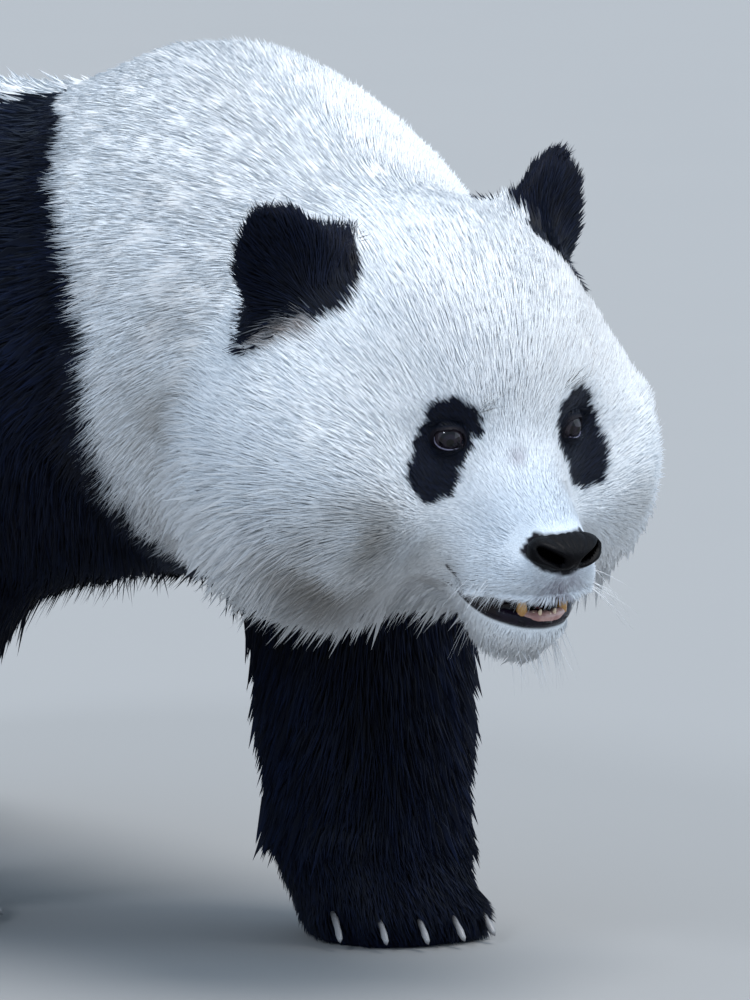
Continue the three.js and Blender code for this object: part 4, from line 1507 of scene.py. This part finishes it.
class PANDA_OT_mouth(bpy.types.Operator):
    """Make the lower lip, the gum, the lower teeth and the tongue"""

    bl_idname = "panda.mouth"
    bl_label = "Mouth"

    def execute(self, context):
        face, colours = context.scene.panda_face, context.scene.panda_colours
        skin = bpy.data.objects["skin"].data
        dark = bare_material("panda_lip", colours.lip, LIP_SECOND, 0.22, 0.22, 700, 4e-4)
        pink = bare_material("panda_gum", colours.gum, GUM_SECOND, 0.22, 0.7, 500, 3e-4)
        tongue = bare_material("panda_tongue", *TONGUE, 0.35, 0.5, 900, 5e-4)
        path = rim_of_jaw(skin, np.radians(np.linspace(-100, 100, 41)), 0.0035, face.lip * 0.62)
        path[:, 2] += 0.0022
        taper = np.sin(np.linspace(0.10, math.pi - 0.10, 41)) ** 0.45
        sizes = [(face.lip * t * 0.85, face.lip * t) for t in taper]
        add_piece("lip_lower", rolled("lip_lower", HEAD.world(path), sizes), dark)
        turns = np.linspace(-1, 1, 21)
        arch = np.stack([self.arch_x(turns) - 0.001, turns * TEETH["aside"] * 1.15, 0 * turns], axis=1)
        arch[:, 2] = lips(arch[:, 0])[1] + 0.0005
        bumps = 0.0048 + 0.0006 * np.cos(turns * 14)
        gum = rolled("gum_lower", HEAD.world(arch), [(0.0042, b) for b in bumps])
        add_piece("gum_lower", gum, pink)
        enamel = tooth_material()
        for name, mesh in self.teeth():
            add_piece(name, mesh, enamel)
        bm = merged_copy("tongue")
        bmesh.ops.subdivide_edges(bm, edges=bm.edges, cuts=2, use_grid_fill=True)
        relax(bm, 0.5, 4)
        add_piece("tongue", mesh_of(bm, "tongue"), tongue, ["tongue"])
        return {"FINISHED"}

    @staticmethod
    def arch_x(turns):
        return TEETH["ahead"] + TEETH["bow"] * (1 - turns**2)

    def teeth(self):
        for side, name in ((1, "left"), (-1, "right")):
            x = float(self.arch_x(np.array(0.93)))
            place = (x, side * TEETH["aside"], float(lips(x)[1]) - 0.004)
            yield f"canine_{name}", tooth("canine", place, (-0.12, 0.08 * side), 0.0200, 0.0040, 1.0)
        for n in range(6):
            turn = (n - 2.5) / 2.5 * 0.62
            x = float(self.arch_x(np.array(turn)))
            place = (x, turn * TEETH["aside"], float(lips(x)[1]) - 0.002)
            yield f"incisor_{n + 1}", tooth("incisor", place, (0.10, 0.0), INCISORS[n], 0.0019, 0.45)


CLAW_SLENDER = 0.52  # of the solid claws' width


class PANDA_OT_claws(bpy.types.Operator):
    """Make the twenty claws from the nodes that they replace, with a smooth curve"""

    bl_idname = "panda.claws"
    bl_label = "Claws"

    def execute(self, context):
        material = claw_material(context.scene.panda_colours)
        for node in sorted(n for n in NODES if n.startswith("claw_")):
            bm = merged_copy(node)
            bmesh.ops.subdivide_edges(bm, edges=bm.edges, cuts=2, smooth=0.5, use_grid_fill=True)
            relax(bm, 0.4, 2)
            points = bmesh_points(bm)
            centre = points.mean(axis=0)
            long = np.linalg.svd(points - centre, full_matrices=False)[2][0]
            on_line = centre + ((points - centre) @ long)[:, None] * long
            place_points(bm, between(on_line, points, CLAW_SLENDER))
            ahead = points[:, 0]
            mesh = mesh_of(bm, node)
            set_attribute(mesh, "along", (ahead - ahead.min()) / np.ptp(ahead))
            add_piece(node, mesh, material, [node])
        return {"FINISHED"}


# Beds of long stiff hairs, in the head's axes: how many, from where and how far around it, which
# way they point, how long and thick, and whether they are dark.
WHISKERS = (
    (18, (0.146, 0.040, -0.070), (0.014, 0.006, 0.010), (0.10, 0.9, -0.45), 0.046, 0.00025, False),
    (8, (0.140, -0.040, -0.072), (0.014, 0.006, 0.010), (0.0, -0.7, -0.85), 0.034, 0.0002, False),
    (60, (0.148, 0.008, -0.116), (0.018, 0.036, 0.007), (0.25, 0.35, -0.9), 0.030, 0.00025, False),
    (14, (0.120, -0.030, -0.112), (0.024, 0.014, 0.006), (-0.1, -0.1, -1.0), 0.028, 0.0002, False),
    (9, (0.090, -0.036, 0.036), (0.004, 0.006, 0.004), (0.3, 0.5, 0.8), 0.022, 0.0002, True),
    (9, (0.086, 0.042, 0.046), (0.004, 0.006, 0.004), (0.3, 0.3, 1.0), 0.026, 0.0002, True),
)
# Finer hairs that hang from the upper lip over the mouth, from its corners to its front.
FRINGE = {"count": 170, "back": (0.112, 0.048, -0.078), "front": (0.160, 0.016, -0.068)}
FRINGE_HAIR = {"length": 0.0115, "thick": 0.0002}


class PANDA_OT_whiskers(bpy.types.Operator):
    """Make the long stiff hairs of the lips, chin and brows"""

    bl_idname = "panda.whiskers"
    bl_label = "Whiskers"

    def execute(self, context):
        skin = bpy.data.objects["skin"].data
        points = read(skin.vertices, "co", 3)
        outside = points[~in_mouth(HEAD.local(points), 0.0020)]
        h = HEAD.local(outside)
        rng = np.random.default_rng(5)
        bm = bmesh.new()
        tones = []
        for wanted, way, length, thick, is_dark in self.wanted(rng):
            root = outside[np.argmin(np.linalg.norm(h - wanted, axis=1))]
            aim = HEAD.turned(unit(np.array(way) + rng.normal(0, 0.16, 3)))
            verts = self.hair(bm, root, aim, length * rng.uniform(0.6, 1.15), thick)
            tones += [0.03 if is_dark else 0.80] * verts
        mesh = mesh_of(bm, "whiskers")
        tones = np.array(tones)[:, None] * np.array((0.97, 0.98, 1.0))
        set_attribute(mesh, "coat", np.column_stack([tones, np.ones(len(tones))]))
        add_piece("whiskers", mesh, fur_material("panda_whisker", 0.3, 0.0))
        return {"FINISHED"}

    @staticmethod
    def wanted(rng):
        """Each hair's place, way, length, thickness and whether it's dark."""
        for count, centre, spread, way, length, thick, is_dark in WHISKERS:
            for _ in range(count):
                yield np.array(centre) + rng.normal(0, 0.5, 3) * spread, way, length, thick, is_dark
        for side in (-1, 1):
            back, front = (np.array(FRINGE[k]) * (1, side, 1) for k in ("back", "front"))
            for _ in range(FRINGE["count"]):
                wanted = between(back, front, rng.random()) + rng.normal(0, 0.0015, 3)
                yield wanted, (-0.15, 0.45 * side, -1.0), *FRINGE_HAIR.values(), False

    @staticmethod
    def hair(bm, root, aim, length, thick):
        """Adds one tapered hair that droops a little. Returns how many corners it has."""
        before = len(bm.verts)
        last = None
        for step in range(5):
            t = step / 4
            place = root + aim * length * t + np.array((0, 0, -0.16)) * length * t * t
            way = unit(aim + np.array((0, 0, -0.32)) * t)
            turn = Vector(way).to_track_quat("Z", "Y").to_matrix().to_4x4()
            at = Matrix.Translation(place) @ turn
            last = add_ring(bm, at, 3, thick * (1 - 0.9 * t), step in (0, 4), last)
        return len(bm.verts) - before


# ---------------------------------------------------------------- the stage


# Far, soft lights: the strength over the high light's, the way to each, its width in degrees, and
# its tint. The key is high, the spark shines in the eyes, and the fill is low on the left.
LIGHTS = {
    "key": (1.0, (0.34, 0.10, 0.93), 38, (1.0, 0.985, 0.97)),
    "spark": (0.27, (0.36, -0.74, 0.56), 10, (0.80, 0.88, 1.0)),
    "fill": (0.40, (0.50, 0.85, 0.16), 60, (0.80, 0.90, 1.0)),
}
SKY_TINT = (0.60, 0.785, 1.0)


class PANDA_OT_stage(bpy.types.Operator):
    """Make the plain floor, the soft light and the camera"""

    bl_idname = "panda.stage"
    bl_label = "Stage"

    def execute(self, context):
        stage, colours = context.scene.panda_stage, context.scene.panda_colours
        self.floor(colours)
        for name, (share, place, spread, tint) in LIGHTS.items():
            self.light(name, stage.key * share, place, spread, tint)
        world = bpy.data.worlds.new("studio")
        world.use_nodes = True
        background = world.node_tree.nodes["Background"]
        background.inputs["Color"].default_value = rgb(SKY_TINT)
        background.inputs["Strength"].default_value = stage.sky
        context.scene.world = world
        context.scene.view_settings.view_transform = "Standard"
        self.camera(context.scene, stage)
        return {"FINISHED"}

    @staticmethod
    def floor(colours):
        bm = bmesh.new()
        bmesh.ops.create_grid(bm, x_segments=1, y_segments=1, size=150)
        floor = bpy.data.objects.new("floor", mesh_of(bm, "floor", smooth=False))
        s = Shader("panda_floor")
        clouds = s.noise(2.0, 4)
        low = tuple(v * 0.97 for v in colours.floor)
        tone = s.mix(low, tuple(colours.floor), clouds)
        floor.data.materials.append(s.finish({"Base Color": tone, "Roughness": clouds * 0.1 + 0.8}))
        bpy.context.scene.collection.objects.link(floor)

    @staticmethod
    def light(name, strength, place, spread, tint):
        """A far, soft light from the direction of a place."""
        lamp = bpy.data.lights.new(name, "SUN")
        lamp.energy = strength
        lamp.angle = math.radians(spread)
        lamp.color = tint
        sun = bpy.data.objects.new(name, lamp)
        sun.rotation_euler = Vector(place).to_track_quat("Z", "Y").to_euler()
        bpy.context.scene.collection.objects.link(sun)

    @staticmethod
    def camera(scene, stage):
        data = bpy.data.cameras.new("camera")
        data.lens = stage.lens
        data.sensor_width = 36
        data.clip_end = 500
        camera = bpy.data.objects.new("camera", data)
        azimuth, elevation = stage.azimuth, stage.elevation
        level = math.cos(elevation)
        back = Vector((math.sin(azimuth) * level, -math.cos(azimuth) * level, math.sin(elevation)))
        camera.location = SHOULDERS + Vector(stage.aim) + back * stage.distance
        camera.rotation_euler = (-back).to_track_quat("-Z", "Y").to_euler()
        scene.collection.objects.link(camera)
        scene.camera = camera


class PANDA_PT_sidebar(bpy.types.Panel):
    """Lists the operators in the order in which they build the animal"""

    bl_idname = "PANDA_PT_sidebar"
    bl_label = "Giant panda"
    bl_space_type = "VIEW_3D"
    bl_region_type = "UI"
    bl_category = "Panda"

    def draw(self, context):
        for name in ("panda_coat", "panda_face", "panda_colours", "panda_stage"):
            box = self.layout.box()
            settings = getattr(context.scene, name)
            for key in settings.bl_rna.properties.keys():
                if key not in ("rna_type", "name"):
                    box.prop(settings, key)
        for operator in OPERATORS:
            self.layout.operator(operator.bl_idname)


OPERATORS = (
    PANDA_OT_stage,
    PANDA_OT_skin,
    PANDA_OT_coat,
    PANDA_OT_eyes,
    PANDA_OT_nose,
    PANDA_OT_mouth,
    PANDA_OT_claws,
    PANDA_OT_whiskers,
)
SETTINGS = {
    "panda_coat": PandaCoat,
    "panda_face": PandaFace,
    "panda_colours": PandaColours,
    "panda_stage": PandaStage,
}
CLASSES = (*SETTINGS.values(), *OPERATORS, PANDA_PT_sidebar)


def register():
    for cls in CLASSES:
        bpy.utils.register_class(cls)
    for name, settings in SETTINGS.items():
        setattr(bpy.types.Scene, name, bpy.props.PointerProperty(type=settings))


def unregister():
    for name in SETTINGS:
        delattr(bpy.types.Scene, name)
    for cls in reversed(CLASSES):
        bpy.utils.unregister_class(cls)


def main():
    register()
    bpy.ops.panda.stage()
    bpy.ops.panda.skin()
    bpy.ops.panda.eyes()
    bpy.ops.panda.nose()
    bpy.ops.panda.mouth()
    bpy.ops.panda.claws()
    bpy.ops.panda.whiskers()
    bpy.ops.panda.coat()


if __name__ == "__main__":
    main()
